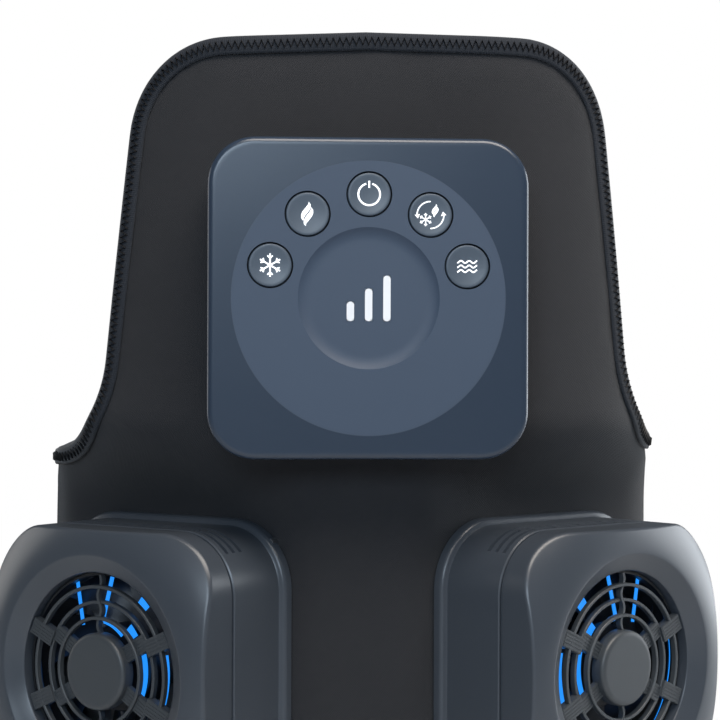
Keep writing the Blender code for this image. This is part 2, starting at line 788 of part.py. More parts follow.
def make_control_inside(frame):
    place("keypad_mat", block(MAT_WIDTH, MAT_WIDTH, MAT_THICKNESS, BOARD_CORNER, SMALL_CORNER_STEPS,
                              front=mat_depth()),
          material("keypad rubber"), frame)
    place("circuit_board", block(BOARD_WIDTH, BOARD_WIDTH, BOARD_THICKNESS, BOARD_CORNER,
                                 SMALL_CORNER_STEPS, front=board_depth()), material("board"), frame)
    place("battery_pack", block(BATTERY_WIDTH, BATTERY_HEIGHT, BATTERY_THICKNESS, BATTERY_CORNER, 2,
                                front=port_depth(), shift=(0, BATTERY_RAISE)),
          material("battery foil"), frame)

    axis_depth = port_depth() + MOTOR_RADIUS
    motor_frame = bpy.data.objects.new("motor_frame", None)
    parts.objects.link(motor_frame)
    motor_frame.parent = frame
    motor_frame.location = (0, axis_depth, -MOTOR_DROP)
    motor_frame.rotation_euler = (0, 0, math.radians(90))
    motor = place("vibration_motor", rod(MOTOR_RADIUS, MOTOR_LENGTH, SMALL_TURN_STEPS), material("steel"),
                  motor_frame)
    bore = rod(MOTOR_SHAFT_RADIUS + GAP, MOTOR_LENGTH / 2, SCREW_STEPS, -OVERRUN)
    cut(motor, place("motor_bore", bore, parent=motor_frame, tool=True))
    weight = place("eccentric_weight", rod(WEIGHT_RADIUS, WEIGHT_LENGTH, SMALL_TURN_STEPS,
                                           -GAP - WEIGHT_LENGTH), material("steel"), motor_frame)
    half = block(4 * WEIGHT_RADIUS, 2 * WEIGHT_RADIUS, WEIGHT_LENGTH + 2 * OVERRUN,
                 front=-GAP - WEIGHT_LENGTH - OVERRUN, shift=(0, WEIGHT_RADIUS))
    cut(weight, place("weight_half", half, parent=motor_frame, tool=True))
    shaft = rod(MOTOR_SHAFT_RADIUS, WEIGHT_LENGTH + MOTOR_LENGTH / 4, SCREW_STEPS,
                -GAP - WEIGHT_LENGTH)
    join(weight, place("weight_shaft", shaft, parent=motor_frame, tool=True))

    port_end = -(CONTROL_WIDTH / 2 - CONTROL_WALL / 2)
    port = block(PORT_WIDTH, PORT_LENGTH, PORT_THICKNESS, front=port_depth(),
                 shift=(0, port_end + PORT_LENGTH / 2))
    port = place("charge_port", port, material("steel"), frame)
    mouth = block(PORT_WIDTH - 2 * PORT_WALL, PORT_LENGTH, PORT_THICKNESS - 2 * PORT_WALL,
                  front=port_depth() + PORT_WALL, shift=(0, port_end + PORT_LENGTH / 2 - PORT_WALL * 3))
    cut(port, place("port_mouth", mouth, parent=frame, tool=True))


def control_screw_places():
    for index, (x, z) in enumerate(((-1, 1), (1, 1), (1, -1), (-1, -1))):
        yield index + 1, x * CONTROL_SCREW_OFFSET, z * CONTROL_SCREW_OFFSET


def make_control_back(frame, wrap):
    grey = material("control shell")
    width = CONTROL_WIDTH - 2 * BACK_SHELL_INSET
    corner = CONTROL_CORNER_RADIUS - BACK_SHELL_INSET
    front = back_shell_front()
    shell = place("control_back_shell", block(width, width, BACK_SHELL_DEPTH, corner,
                                              CONTROL_CORNER_STEPS, front=front), grey, frame)
    inner = width - 2 * CONTROL_WALL
    hollow = block(inner, inner, BACK_SHELL_DEPTH - BACK_SHELL_FLOOR + OVERRUN, corner - CONTROL_WALL,
                   CONTROL_CORNER_STEPS, front=front - OVERRUN)
    cut(shell, place("back_shell_hollow", hollow, parent=frame, tool=True))

    pad_front = front + BACK_SHELL_DEPTH + GAP
    pad = place("mounting_pad", block(PAD_WIDTH, PAD_WIDTH, PAD_REACH, PAD_CORNER,
                                      CONTROL_CORNER_STEPS, front=pad_front),
                material("foam"), frame)
    wide, tall = PAD_WIDTH * FACE_REACH_SHARE, PAD_WIDTH / 2 + OVERRUN
    bm = flat_sheet([Vector((x * wide, CONTROL_HEIGHT + z * tall))
                     for x, z in ((-1, -1), (1, -1), (1, 1), (-1, 1))])
    slice_sheet(bm, spaced(-wide, wide, SHEET_STEP),
                spaced(CONTROL_HEIGHT - tall, BLEND_FROM + BLEND_HEIGHT, BLEND_STEP / 2))
    bend(bm, PAD_REACH + OVERRUN, raised=SOFT_GAP)
    face = place("fabric_face", bm, tool=True)

    plate = place("clamp_plate", block(CLAMP_PLATE_WIDTH, CLAMP_PLATE_WIDTH, CLAMP_PLATE_THICKNESS,
                                       CLAMP_PLATE_CORNER, 4, front=clamp_plate_depth()),
                  material("clamp plastic"), frame)

    tip = front + BACK_SHELL_DEPTH - BACK_SHELL_FLOOR + GAP
    under = clamp_plate_depth() + CLAMP_PLATE_THICKNESS + GAP
    holes = bmesh.new()
    steel = material("steel")
    for index, x, z in control_screw_places():
        add_bm(holes, rod(CONTROL_SCREW_RADIUS + GAP, under - tip + 2 * OVERRUN, SCREW_STEPS,
                          tip - OVERRUN, (x, z)))
        points = [(0, -tip), (CONTROL_SCREW_RADIUS, -tip), (CONTROL_SCREW_RADIUS, -under),
                  (2 * CONTROL_SCREW_RADIUS, -under),
                  (2 * CONTROL_SCREW_RADIUS, -under - SCREW_HEAD_HEIGHT), (0, -under - SCREW_HEAD_HEIGHT)]
        turned("control_screw_%d" % index, points, steel, frame, SCREW_STEPS, location=(x, 0, z))
    tool = place("control_screw_holes", holes, parent=frame, tool=True)
    for piece in (shell, pad, wrap, plate):
        cut(piece, tool)
    cut(pad, face)
    smooth(shell)


# Side modules, each built in a frame whose -Y points out of the wrap


def module_frame(name, side):
    frame = bpy.data.objects.new(name + "_module_frame", None)
    parts.objects.link(frame)
    middle = KNEE_FLAT_HALF + KNEE_BEND_RADIUS * PLATE_ANGLE + PLATE_RUN / 2
    seat = knee_point(side * middle)
    frame.location = (seat.x, seat.y, 0)
    frame.rotation_euler = (0, 0, side * PLATE_ANGLE)
    return frame


def cover_foot():
    return HOUSING_HEIGHT + GAP + TRIM_THICKNESS + GAP


def rise(height, depth):
    """The front of a piece that stands from a height, given as block's front."""
    return -(height + depth)


def dome_profile():
    """Points down the cover's face from the outside in, then through its opening."""
    top = OPENING_HEIGHT + DISH_RISE
    reach = MODULE_WIDTH * DOME_REACH_SHARE
    points = [(0, top + 2 * OVERRUN), (reach, top + 2 * OVERRUN)]
    for radius in reversed(spaced(DISH_RADIUS, reach, DOME_STEP)):
        points.append((radius, top - (radius - DISH_RADIUS) ** 2 / (2 * DOME_RADIUS)))
    points += [(OPENING_RADIUS, OPENING_HEIGHT),
               (OPENING_RADIUS, OPENING_HEIGHT - FACE_THICKNESS - OVERRUN),
               (0, OPENING_HEIGHT - FACE_THICKNESS - OVERRUN)]
    return points


def grille_flange_top():
    return OPENING_HEIGHT - FACE_THICKNESS + GRILLE_FLANGE - GAP


def make_cover(name, frame):
    depth = OPENING_HEIGHT + DISH_RISE + OVERRUN - cover_foot()
    cover = place(name + "_front_cover",
                  block(MODULE_WIDTH, MODULE_WIDTH, depth, MODULE_CORNER_RADIUS, MODULE_CORNER_STEPS,
                        front=rise(cover_foot(), depth)), material("module shell"),
                  frame)
    inner = MODULE_WIDTH - 2 * MODULE_WALL
    room = OPENING_HEIGHT - FACE_THICKNESS - cover_foot()
    hollow = block(inner, inner, room + OVERRUN, MODULE_CORNER_RADIUS - MODULE_WALL,
                   MODULE_CORNER_STEPS, front=rise(cover_foot() - OVERRUN, room + OVERRUN))
    cut(cover, place(name + "_cover_hollow", hollow, parent=frame, tool=True))
    cut(cover, turned(name + "_cover_face", dome_profile(), parent=frame, steps=DOME_STEPS, tool=True))
    seat = rod(GRILLE_FLANGE_RADIUS + GAP, GRILLE_FLANGE + OVERRUN, TURN_STEPS,
               -(OPENING_HEIGHT - FACE_THICKNESS + GRILLE_FLANGE))
    cut(cover, place(name + "_grille_seat", seat, parent=frame, tool=True))
    smooth(cover)


def ring_profile(inner, outer, low, high):
    """A closed square section, for a turned ring."""
    return [(outer, high), (outer, low), (inner, low), (inner, high)]


def make_grille(name, frame):
    """A hub, wide spokes and thin ribs, with rings that lie by turns proud and deep."""
    top = OPENING_HEIGHT - GRILLE_PLATE_SINK
    low = top - GRILLE_PLATE
    rim = OPENING_RADIUS - GAP
    flange = grille_flange_top()
    hub = [(0, OPENING_HEIGHT + HUB_PROUD), (HUB_RADIUS - HUB_EDGE, OPENING_HEIGHT + HUB_PROUD),
           (HUB_RADIUS, OPENING_HEIGHT + HUB_PROUD - HUB_EDGE), (HUB_RADIUS, low - RING_WAVE),
           (0, low - RING_WAVE)]
    grille = turned(name + "_grille", hub, material("module shell"), frame, GRILLE_STEPS)

    bars = bmesh.new()
    reach = rim - GRILLE_RIM_WALL / 2 - HUB_RADIUS / 2
    for angles, width in ((SPOKE_ANGLES, SPOKE_WIDTH), (RIB_ANGLES, RIB_WIDTH)):
        for degrees in angles:
            bar = block(reach, width, GRILLE_PLATE, front=-top, shift=(HUB_RADIUS / 2 + reach / 2, 0))
            turn_in_face(bar, degrees)
            add_bm(bars, bar)
    join(grille, place(name + "_spokes", bars, parent=frame, tool=True))

    wall = [(rim, top + RING_WAVE), (rim, flange), (GRILLE_FLANGE_RADIUS, flange),
            (GRILLE_FLANGE_RADIUS, flange - GRILLE_FLANGE),
            (rim - GRILLE_RIM_WALL, flange - GRILLE_FLANGE), (rim - GRILLE_RIM_WALL, top + RING_WAVE)]
    join(grille, turned(name + "_grille_rim", wall, parent=frame, steps=GRILLE_STEPS, closed=True,
                        tool=True))
    for index, radius in enumerate(RING_RADII):
        wave = RING_WAVE if index % 2 == 0 else -RING_WAVE
        section = ring_profile(radius - RING_WIDTH / 2, radius + RING_WIDTH / 2, low + wave, top + wave)
        join(grille, turned("%s_grille_ring_%d" % (name, index + 1), section, parent=frame,
                            steps=GRILLE_STEPS, closed=True, tool=True))
    smooth(grille)


def turn_in_face(bm, degrees):
    """Turn a piece about the Y axis, from +X towards +Z."""
    cos, sin = math.cos(math.radians(degrees)), math.sin(math.radians(degrees))
    for vert in bm.verts:
        x, y, z = vert.co
        vert.co = Vector((x * cos - z * sin, y, x * sin + z * cos))


def vent_slots():
    """Rows of slots through the housing's top and bottom walls, each row broken by its bridges."""
    bm = bmesh.new()
    tall = MODULE_WIDTH / 2 + OVERRUN - VENT_DEPTH
    for row, shares in enumerate(VENT_BREAK_SHARES):
        height = HOUSING_HEIGHT - VENT_FROM_SEAM - VENT_PITCH * row
        ends = [-VENT_REACH] + [VENT_REACH * share for share in shares] + [VENT_REACH]
        for start, end in zip(ends, ends[1:]):
            for side in (-1, 1):
                add_bm(bm, block(end - start - VENT_BRIDGE, tall, VENT_WIDTH,
                                 front=rise(height - VENT_WIDTH / 2, VENT_WIDTH),
                                 shift=((start + end) / 2, side * (VENT_DEPTH + tall / 2))))
    return bm


def make_housing(name, frame):
    depth = HOUSING_HEIGHT - GAP
    housing = place(name + "_housing",
                    block(MODULE_WIDTH, MODULE_WIDTH, depth, MODULE_CORNER_RADIUS,
                          MODULE_CORNER_STEPS, front=rise(GAP, depth)),
                    material("module shell"), frame)
    wide = MODULE_WIDTH + 2 * FLANGE_STEP
    flange = block(wide, wide, FLANGE_HEIGHT, MODULE_CORNER_RADIUS + FLANGE_STEP, MODULE_CORNER_STEPS,
                   FLANGE_STEP * 3 / 4, 2, front=rise(GAP, FLANGE_HEIGHT))
    join(housing, place(name + "_flange", flange, parent=frame, tool=True))
    inner = MODULE_WIDTH - 2 * MODULE_WALL
    room = depth - HOUSING_FLOOR + OVERRUN
    hollow = block(inner, inner, room, MODULE_CORNER_RADIUS - MODULE_WALL, MODULE_CORNER_STEPS,
                   front=rise(GAP + HOUSING_FLOOR, room))
    cut(housing, place(name + "_housing_hollow", hollow, parent=frame, tool=True))
    cut(housing, place(name + "_vents", vent_slots(), parent=frame, tool=True))
    smooth(housing)
    return housing


def make_trim(name, frame):
    outer = MODULE_WIDTH - 2 * TRIM_INSET
    corner = MODULE_CORNER_RADIUS - TRIM_INSET
    front = rise(HOUSING_HEIGHT + GAP, TRIM_THICKNESS)
    trim = place(name + "_trim_ring", block(outer, outer, TRIM_THICKNESS, corner, MODULE_CORNER_STEPS,
                                            front=front), material("trim"), frame)
    inner = outer - 2 * TRIM_WIDTH
    hole = block(inner, inner, TRIM_THICKNESS + 2 * OVERRUN, corner - TRIM_WIDTH, MODULE_CORNER_STEPS,
                 front=front - OVERRUN)
    cut(trim, place(name + "_trim_hole", hole, parent=frame, tool=True))


def light_ring_height():
    return grille_flange_top() - GRILLE_FLANGE - GAP - LIGHT_RING_THICKNESS


def fan_foot():
    return sink_foot() + SINK_BASE + SINK_FIN + GAP


def sink_foot():
    return GAP + HOUSING_FLOOR + GAP


def make_light_ring(name, frame):
    low = light_ring_height()
    high = low + LIGHT_RING_THICKNESS
    turned(name + "_light_ring", ring_profile(LIGHT_RING_INNER, LIGHT_RING_OUTER, low, high),
           material("blue light"), frame, closed=True)


def make_fan(name, frame):
    black = material("fan plastic")
    foot = fan_foot()
    top = foot + FAN_DEPTH
    fan = place(name + "_fan_frame", block(FAN_WIDTH, FAN_WIDTH, FAN_DEPTH, FAN_CORNER, SMALL_CORNER_STEPS,
                                           front=rise(foot, FAN_DEPTH)), black, frame)
    holes = rod(FAN_BORE, FAN_DEPTH + 2 * OVERRUN, TURN_STEPS, rise(foot, FAN_DEPTH) - OVERRUN)
    for x in (-1, 1):
        for z in (-1, 1):
            add_bm(holes, rod(FAN_SCREW_HOLE, FAN_DEPTH + 2 * OVERRUN, SCREW_STEPS,
                              rise(foot, FAN_DEPTH) - OVERRUN,
                              (x * FAN_SCREW_OFFSET, z * FAN_SCREW_OFFSET)))
    cut(fan, place(name + "_fan_bore", holes, parent=frame, tool=True))
    struts = block(2 * FAN_BORE + 2 * GAP, FAN_STRUT_WIDTH, FAN_STRUT_DEPTH,
                   front=rise(foot, FAN_STRUT_DEPTH))
    join(fan, place(name + "_strut_across", struts, parent=frame, tool=True))
    struts = block(FAN_STRUT_WIDTH, 2 * FAN_BORE + 2 * GAP, FAN_STRUT_DEPTH,
                   front=rise(foot, FAN_STRUT_DEPTH))
    join(fan, place(name + "_strut_upright", struts, parent=frame, tool=True))
    stator_top = top - STATOR_TOP_DROP
    stator = rod(STATOR_RADIUS, stator_top - foot, ROTOR_STEPS, -stator_top)
    join(fan, place(name + "_stator", stator, parent=frame, tool=True))
    bore_foot = foot + ROTOR_FOOT_RISE - GAP
    bore = rod(SHAFT_RADIUS + GAP, stator_top - bore_foot + OVERRUN, SCREW_STEPS,
               -stator_top - OVERRUN)
    cut(fan, place(name + "_shaft_bore", bore, parent=frame, tool=True))
    smooth(fan)


def blade_grid(foot):
    """Fan blades as open sheets, each a slice of a screw surface."""
    rotor_outer = STATOR_RADIUS + GAP + ROTOR_WALL
    root = rotor_outer - ROTOR_WALL / 2
    tip = FAN_BORE - FAN_TIP_GAP
    middle = foot + FAN_STRUT_DEPTH + (FAN_DEPTH - FAN_STRUT_DEPTH) / 2
    bm = bmesh.new()
    for index in range(BLADE_COUNT):
        grid = bmesh.new()
        bmesh.ops.create_grid(grid, x_segments=2, y_segments=2, size=0.5)
        for vert in grid.verts:
            out, across = vert.co.x + 0.5, vert.co.y
            radius = root + (tip - root) * out
            angle = 2 * math.pi * index / BLADE_COUNT + BLADE_SWEEP * out * out + BLADE_SPAN * across
            height = middle + BLADE_DEPTH * across
            vert.co = Vector((radius * math.cos(angle), -height, radius * math.sin(angle)))
        add_bm(bm, grid)
    return bm


def make_rotor(name, frame):
    foot = fan_foot()
    outer = STATOR_RADIUS + GAP + ROTOR_WALL
    inner = STATOR_RADIUS + GAP
    top = foot + FAN_DEPTH - ROTOR_TOP_DROP
    low = foot + ROTOR_FOOT_RISE
    ceiling = top - ROTOR_WALL
    points = [(0, top), (outer - ROTOR_WALL / 2, top), (outer, top - ROTOR_WALL / 2), (outer, low),
              (inner, low), (inner, ceiling), (SHAFT_RADIUS, ceiling), (SHAFT_RADIUS, low), (0, low)]
    rotor = turned(name + "_fan_rotor", points, material("fan plastic"), frame,
                   ROTOR_STEPS)
    blades = place(name + "_blades", blade_grid(foot), parent=frame, tool=True)
    thickness = blades.modifiers.new("thickness", "SOLIDIFY")
    thickness.thickness = BLADE_THICKNESS
    thickness.offset = 0
    blades.rotation_euler = (math.radians(-90), 0, 0)
    blades.parent = rotor
    join(rotor, blades)
    smooth(rotor)


def make_heat_sink(name, frame):
    """A base plate with a row of tall fins."""
    foot = sink_foot()
    sink = place(name + "_heat_sink", block(SINK_WIDTH, SINK_WIDTH, SINK_BASE, SINK_CORNER, 2,
                                            front=rise(foot, SINK_BASE)),
                 material("aluminium"), frame)
    pins = bmesh.new()
    pitch = SINK_WIDTH / SINK_FIN_COUNT
    width = pitch - 2 * SINK_FIN_INSET
    middle = (SINK_FIN_COUNT - 1) / 2
    sunk = SINK_BASE / 2
    for column in range(SINK_FIN_COUNT):
        add_bm(pins, block(width, SINK_WIDTH - pitch, SINK_FIN + sunk,
                           front=rise(foot + SINK_BASE - sunk, SINK_FIN + sunk),
                           shift=(pitch * (column - middle), 0)))
    join(sink, place(name + "_fins", pins, parent=frame, tool=True))


def frame_plate(name, frame, finish, outer, inner, low, thickness, corner, inner_corner):
    """A square plate with a square window."""
    plate = place(name, block(outer, outer, thickness, corner, 4, front=rise(low, thickness)), finish,
                  frame)
    window = block(inner, inner, thickness + 2 * OVERRUN, inner_corner, 4,
                   front=rise(low, thickness) - OVERRUN)
    cut(plate, place(name + "_window", window, parent=frame, tool=True))
    return plate


def make_cold_side(name, frame, wrap, housing):
    chip_foot = GAP + HOUSING_FLOOR - PELTIER_THICKNESS
    place(name + "_peltier_module", block(PELTIER_WIDTH, PELTIER_WIDTH, PELTIER_THICKNESS,
                                          front=rise(chip_foot, PELTIER_THICKNESS)),
          material("ceramic"), frame)
    frame_plate(name + "_insulation_frame", frame, material("foam"),
                COLD_SIDE_WIDTH, PELTIER_WIDTH + 2 * GAP, chip_foot, PELTIER_THICKNESS,
                COLD_SIDE_CORNER, GAP)

    plate_foot = chip_foot - GAP - COLD_PLATE_THICKNESS
    plate = place(name + "_cold_plate", block(COLD_SIDE_WIDTH, COLD_SIDE_WIDTH, COLD_PLATE_THICKNESS,
                                              COLD_SIDE_CORNER, 4,
                                              front=rise(plate_foot, COLD_PLATE_THICKNESS)),
                  material("aluminium"), frame)
    smooth(plate)

    window_width = COLD_SIDE_WIDTH + 2 * SOFT_GAP
    clamp_foot = -(WRAP_THICKNESS + GAP + CLAMP_FRAME_THICKNESS)
    clamp = frame_plate(name + "_clamp_frame", frame, material("clamp plastic"),
                        CLAMP_FRAME_WIDTH, window_width, clamp_foot, CLAMP_FRAME_THICKNESS,
                        CLAMP_FRAME_CORNER, COLD_SIDE_CORNER)

    deep = WRAP_THICKNESS + HOUSING_FLOOR + 2 * OVERRUN
    window = block(window_width, window_width, deep, COLD_SIDE_CORNER, 4,
                   front=-(GAP + HOUSING_FLOOR + OVERRUN / 2))
    window = place(name + "_wrap_window", window, parent=frame, tool=True)
    cut(wrap, window)
    cut(housing, window)

    tip = GAP + HOUSING_FLOOR - GAP / 3
    under = clamp_foot - GAP
    steel = material("steel")
    holes = bmesh.new()
    for index, side in enumerate((-1, 1)):
        x, z = side * SCREW_OFFSET, side * SCREW_OFFSET
        points = [(0, tip), (SCREW_RADIUS, tip), (SCREW_RADIUS, under), (SCREW_HEAD_RADIUS, under),
                  (SCREW_HEAD_RADIUS, under - SCREW_HEAD_HEIGHT), (0, under - SCREW_HEAD_HEIGHT)]
        turned("%s_screw_%d" % (name, index + 1), points, steel, frame, SCREW_STEPS,
               location=(x, 0, z))
        add_bm(holes, rod(SCREW_RADIUS + GAP, tip - under + 2 * OVERRUN, SCREW_STEPS,
                          -tip - OVERRUN, (x, z)))
    holes = place(name + "_screw_holes", holes, parent=frame, tool=True)
    for piece in (clamp, wrap, housing):
        cut(piece, holes)


def make_module(name, side, wrap):
    frame = module_frame(name, side)
    make_cover(name, frame)
    make_grille(name, frame)
    housing = make_housing(name, frame)
    make_trim(name, frame)
    make_light_ring(name, frame)
    make_fan(name, frame)
    make_rotor(name, frame)
    make_heat_sink(name, frame)
    make_cold_side(name, frame, wrap, housing)


def main():
    global parts, cutters
    clear_scene()
    parts = new_collection("hot_cold_therapy_wrap")
    cutters = new_collection("cutters")
    wrap = make_wrap()
    make_binding()
    make_straps()
    make_cables()
    frame = control_frame()
    make_control_cover(frame)
    make_buttons(frame)
    make_light_guide(frame)
    make_control_inside(frame)
    make_control_back(frame, wrap)
    for name, side in (("left", -1), ("right", 1)):
        make_module(name, side, wrap)


main()
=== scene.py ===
"""Looks of a hot and cold therapy wrap for a knee, with its control and two fan modules.

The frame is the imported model: front is -Y, up is +Z, and lengths are in metres.
Distances along the wrap run round the leg from the middle of its front.
"""
import math

import bmesh
import bpy
import numpy as np
from bpy.props import FloatProperty, FloatVectorProperty, PointerProperty
from bpy.types import Operator, Panel, PropertyGroup
from mathutils import Matrix, Vector, noise


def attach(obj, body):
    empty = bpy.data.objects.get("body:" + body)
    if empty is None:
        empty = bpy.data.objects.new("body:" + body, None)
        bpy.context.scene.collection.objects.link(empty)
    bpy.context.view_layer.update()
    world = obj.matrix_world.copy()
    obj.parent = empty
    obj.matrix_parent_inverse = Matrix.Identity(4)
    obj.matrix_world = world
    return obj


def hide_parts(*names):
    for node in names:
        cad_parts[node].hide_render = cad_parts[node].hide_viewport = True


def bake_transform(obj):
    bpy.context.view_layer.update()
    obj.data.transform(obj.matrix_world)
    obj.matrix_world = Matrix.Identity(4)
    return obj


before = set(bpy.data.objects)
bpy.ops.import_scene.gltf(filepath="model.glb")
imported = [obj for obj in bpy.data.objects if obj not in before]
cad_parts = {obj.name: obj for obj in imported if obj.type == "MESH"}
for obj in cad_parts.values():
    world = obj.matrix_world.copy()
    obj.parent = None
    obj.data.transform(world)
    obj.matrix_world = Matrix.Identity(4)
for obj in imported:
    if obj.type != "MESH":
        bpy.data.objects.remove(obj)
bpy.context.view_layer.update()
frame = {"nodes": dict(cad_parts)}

bl_info = {
    "name": "Hot and cold knee wrap",
    "version": (1, 0, 0),
    "blender": (4, 5, 0),
    "location": "3D View > Sidebar > Knee wrap",
    "description": "Builds the looks of a hot and cold therapy wrap on its packed frame",
    "category": "Object",
}

MM = 0.001
GAP = 0.3 * MM

# The wrap's surface and outline, as in the frame
WRAP_THICKNESS = 4 * MM
WRAP_FRONT = 60.5 * MM
TONGUE_TOP = 151.6 * MM
TONGUE_CORNER_DROP = 1.6 * MM
TONGUE_HALF_TOP = 57.5 * MM
TONGUE_HALF_FOOT = 71 * MM
TONGUE_CORNER_RADIUS = 26 * MM
WING_TOP_ROOT = 53.5 * MM
WING_ROOT_RADIUS = 26 * MM
WING_TOP_END = 46 * MM
WING_REACH = 178 * MM
WING_CORNER_RADIUS = 14 * MM
KNEE_FLAT_HALF = 9.6 * MM
KNEE_BEND_RADIUS = 13 * MM
PLATE_ANGLE = math.radians(37.4)
PLATE_RUN = 68 * MM
SIDE_BEND_RADIUS = 23 * MM
SIDE_RUN = 4 * MM
BACK_BEND_RADIUS = 45 * MM
THIGH_FLAT_HALF = 26 * MM
THIGH_RADIUS = 54 * MM
BLEND_FROM = 36 * MM
BLEND_HEIGHT = 24.0 * MM
SIDE_BLEND_FROM = 90 * MM
SIDE_BLEND_RUN = 25 * MM
OUTLINE_STEPS = 16
SIDE_DRAW = 2.0 * MM
SIDE_DRAW_FROM = 88 * MM
SIDE_DRAW_RUN = 12 * MM
LEAN_RIGHT = ((2.1 * MM, 0.6 * MM), (3.5 * MM, 2.6 * MM), (0.0, 4.2 * MM))
LEAN_LEFT = ((2.3 * MM, -0.8 * MM), (2.6 * MM, -0.8 * MM), (0.0, -1.2 * MM))
BINDING_WIDTH = 4.4 * MM
BINDING_PROUD = 0.7 * MM

# Straps, hook tabs and loop patches
STRAP_WIDTH = 33 * MM
STRAP_HEIGHT = 24 * MM
STRAP_THICKNESS = 1.8 * MM
STRAP_ROOT = 158 * MM
STRAP_SEWN_LENGTH = 32 * MM
STRAP_TIP = 130 * MM
STRAP_TIP_RADIUS = 8 * MM
STRAP_ROOT_RUN = 3 * MM
STRAP_RISE_RUN = 5 * MM
STRAP_CLIMB_FROM = 60 * MM
STRAP_CLIMB_RUN = 40 * MM
SOFT_GAP = 0.5 * MM
PATCH_THICKNESS = 1 * MM
LOOP_PATCH = (124 * MM, 168 * MM, 34 * MM)
HOOK_TAB = (36 * MM, 29 * MM)
STITCH_LENGTH = 2.2 * MM
STITCH_GAP = 0.7 * MM
STITCH_STEP = 0.25 * MM
THREAD_SINK = 0.02 * MM
THREAD_CROWN = 1.5
SEAM_INSET = 2.25 * MM
PATCH_SEAM = 2 * MM

# Control, depths measured in from its front
CONTROL_FRONT = 76.2 * MM
CONTROL_HEIGHT = 87.6 * MM
CONTROL_HALF = 37 * MM
CONTROL_CORNER = 11 * MM
CONTROL_EDGE = 1.5 * MM
CONTROL_WALL = 2 * MM
COVER_DEPTH = 9.4 * MM
ZONE_RADIUS = 31.5 * MM
RECESS_RADIUS = 16.3 * MM
RECESS_DEPTH = 1 * MM
RECESS_FILLET = 3.4 * MM
PORT_WIDTH = 9 * MM
BUTTON_RING = 23.85 * MM
BUTTON_RADIUS = 5 * MM
BUTTON_SINK = 0.15 * MM
BUTTON_DISH = 0.4 * MM
BUTTON_EDGE = 0.4 * MM
BUTTON_FOOT = 2.9 * MM
BUTTON_FLANGE = 0.6 * MM
BUTTONS = {"cold": -71.8, "heat": -36.3, "power": 0.0, "contrast": 36.3, "vibration": 71.8}
BAR_WIDTH = 1.7 * MM
BAR_ROOM = 0.12 * MM
BAR_PITCH = 4.2 * MM
BAR_HEIGHTS = (4.5 * MM, 7.5 * MM, 10.5 * MM)

# Side modules, heights measured out from the wrap's face
MODULE_HALF = 33.5 * MM
MODULE_CORNER = 15 * MM
MODULE_WALL = 2.2 * MM
OPENING_HEIGHT = 30.3 * MM
OPENING_RADIUS = 23.3 * MM
FACE_THICKNESS = 4.5 * MM
DISH_RADIUS = 27.6 * MM
DISH_RISE = 2.6 * MM
DOME_RADIUS = 18.2 * MM
COVER_FOOT = 21.9 * MM
HOUSING_HEIGHT = 20.7 * MM
HOUSING_FLOOR = 2 * MM
FLANGE_HEIGHT = 3.3 * MM
FLANGE_STEP = 1.6 * MM
TRIM_INSET = 0.5 * MM
TRIM_WIDTH = 2.4 * MM
TRIM_THICKNESS = 0.6 * MM
VENT_WIDTH = 1.1 * MM
VENT_PITCH = 2.5 * MM
VENT_FROM_SEAM = 2.2 * MM
VENT_REACH = 30.5 * MM
VENT_DEPTH = 27.5 * MM
VENT_BRIDGE = 1.8 * MM
VENT_BREAKS = ((-0.36, 0.36), (-0.68, 0.0, 0.68), (-0.36, 0.36))
GRILLE_TOP = 29.4 * MM
GRILLE_PLATE = 1.4 * MM
GRILLE_RIM_WALL = 1.1 * MM
GRILLE_FLANGE = (25 * MM, 25.5 * MM, 26.9 * MM)
HUB_RADIUS = 9.1 * MM
HUB_PROUD = 0.8 * MM
RING_RADII = (12.5 * MM, 16.2 * MM, 19.9 * MM)
RING_WIDTH = 0.8 * MM
RING_WAVE = 0.4 * MM
SPOKE_WIDTH = 4 * MM
SPOKE_ANGLES = (27, 153, 207, 333)
SPOKE_SINK = 0.4 * MM

# First and last ring, height and turn in degrees of the two tiles of a spoke
SPOKE_TILES = ((0, 2, -0.45 * MM, 3), (2, 4, 0.35 * MM, -3))

# How far in and how far down the hub's rounded edge goes, in millimetres
HUB_EDGE = ((1.6, 0.0), (1.0, 0.04), (0.5, 0.2), (0.15, 0.55), (0.0, 1.1))
RIB_WIDTH = 0.7 * MM
LIGHT_RING = (23.7 * MM, 29 * MM, 24.2 * MM, 25.2 * MM)
# Sideways shift of the glowing bows and bars of painted reflection
GLINT_SHIFT = 5.2 * MM

# Inner and outer radius in millimetres, first and last degree of the glowing bows that paint the blue
# light's reflections on the fan blades and inner wall
GLINT_BOWS = ((14.3, 15.6, -34, 16), (21.0, 22.2, -30, 12), (20.2, 22.6, 15, 24),
                (19.6, 22.2, 44, 52), (13.0, 15.0, 34, 46), (10.6, 12.0, 46, 80))

# Radius and degree of both ends, and the width in millimetres, of the glowing bars that paint the blue
# light's glints on the fan blades
GLINT_BARS = (((10.6, 116), (21.4, 108), 0.8), ((11.0, 82), (22.8, 78), 0.9))
ROTOR_RADIUS = 10.5 * MM
ROTOR_HEIGHTS = (15.9 * MM, 22.9 * MM)
BLADE_TIP = 23.2 * MM
BLADE_MIDDLE = 19.5 * MM
BLADE_DEPTH = 6.4 * MM
BLADE_COUNT = 7
BLADE_THICKNESS = 0.7 * MM
BLADE_SPAN = math.radians(34)
BLADE_SWEEP = math.radians(18)
WINDOW_HALF = 27 * MM


# Settings


def length(name, description, default):
    """A setting in millimetres on the panel's metre scale."""
    return FloatProperty(name=name, description=description, default=default * MM, unit="LENGTH",
                         precision=5)


def colour(name, description, default):
    return FloatVectorProperty(name=name, description=description, default=default, size=3,
                               subtype="COLOR", min=0.0, max=1.0)


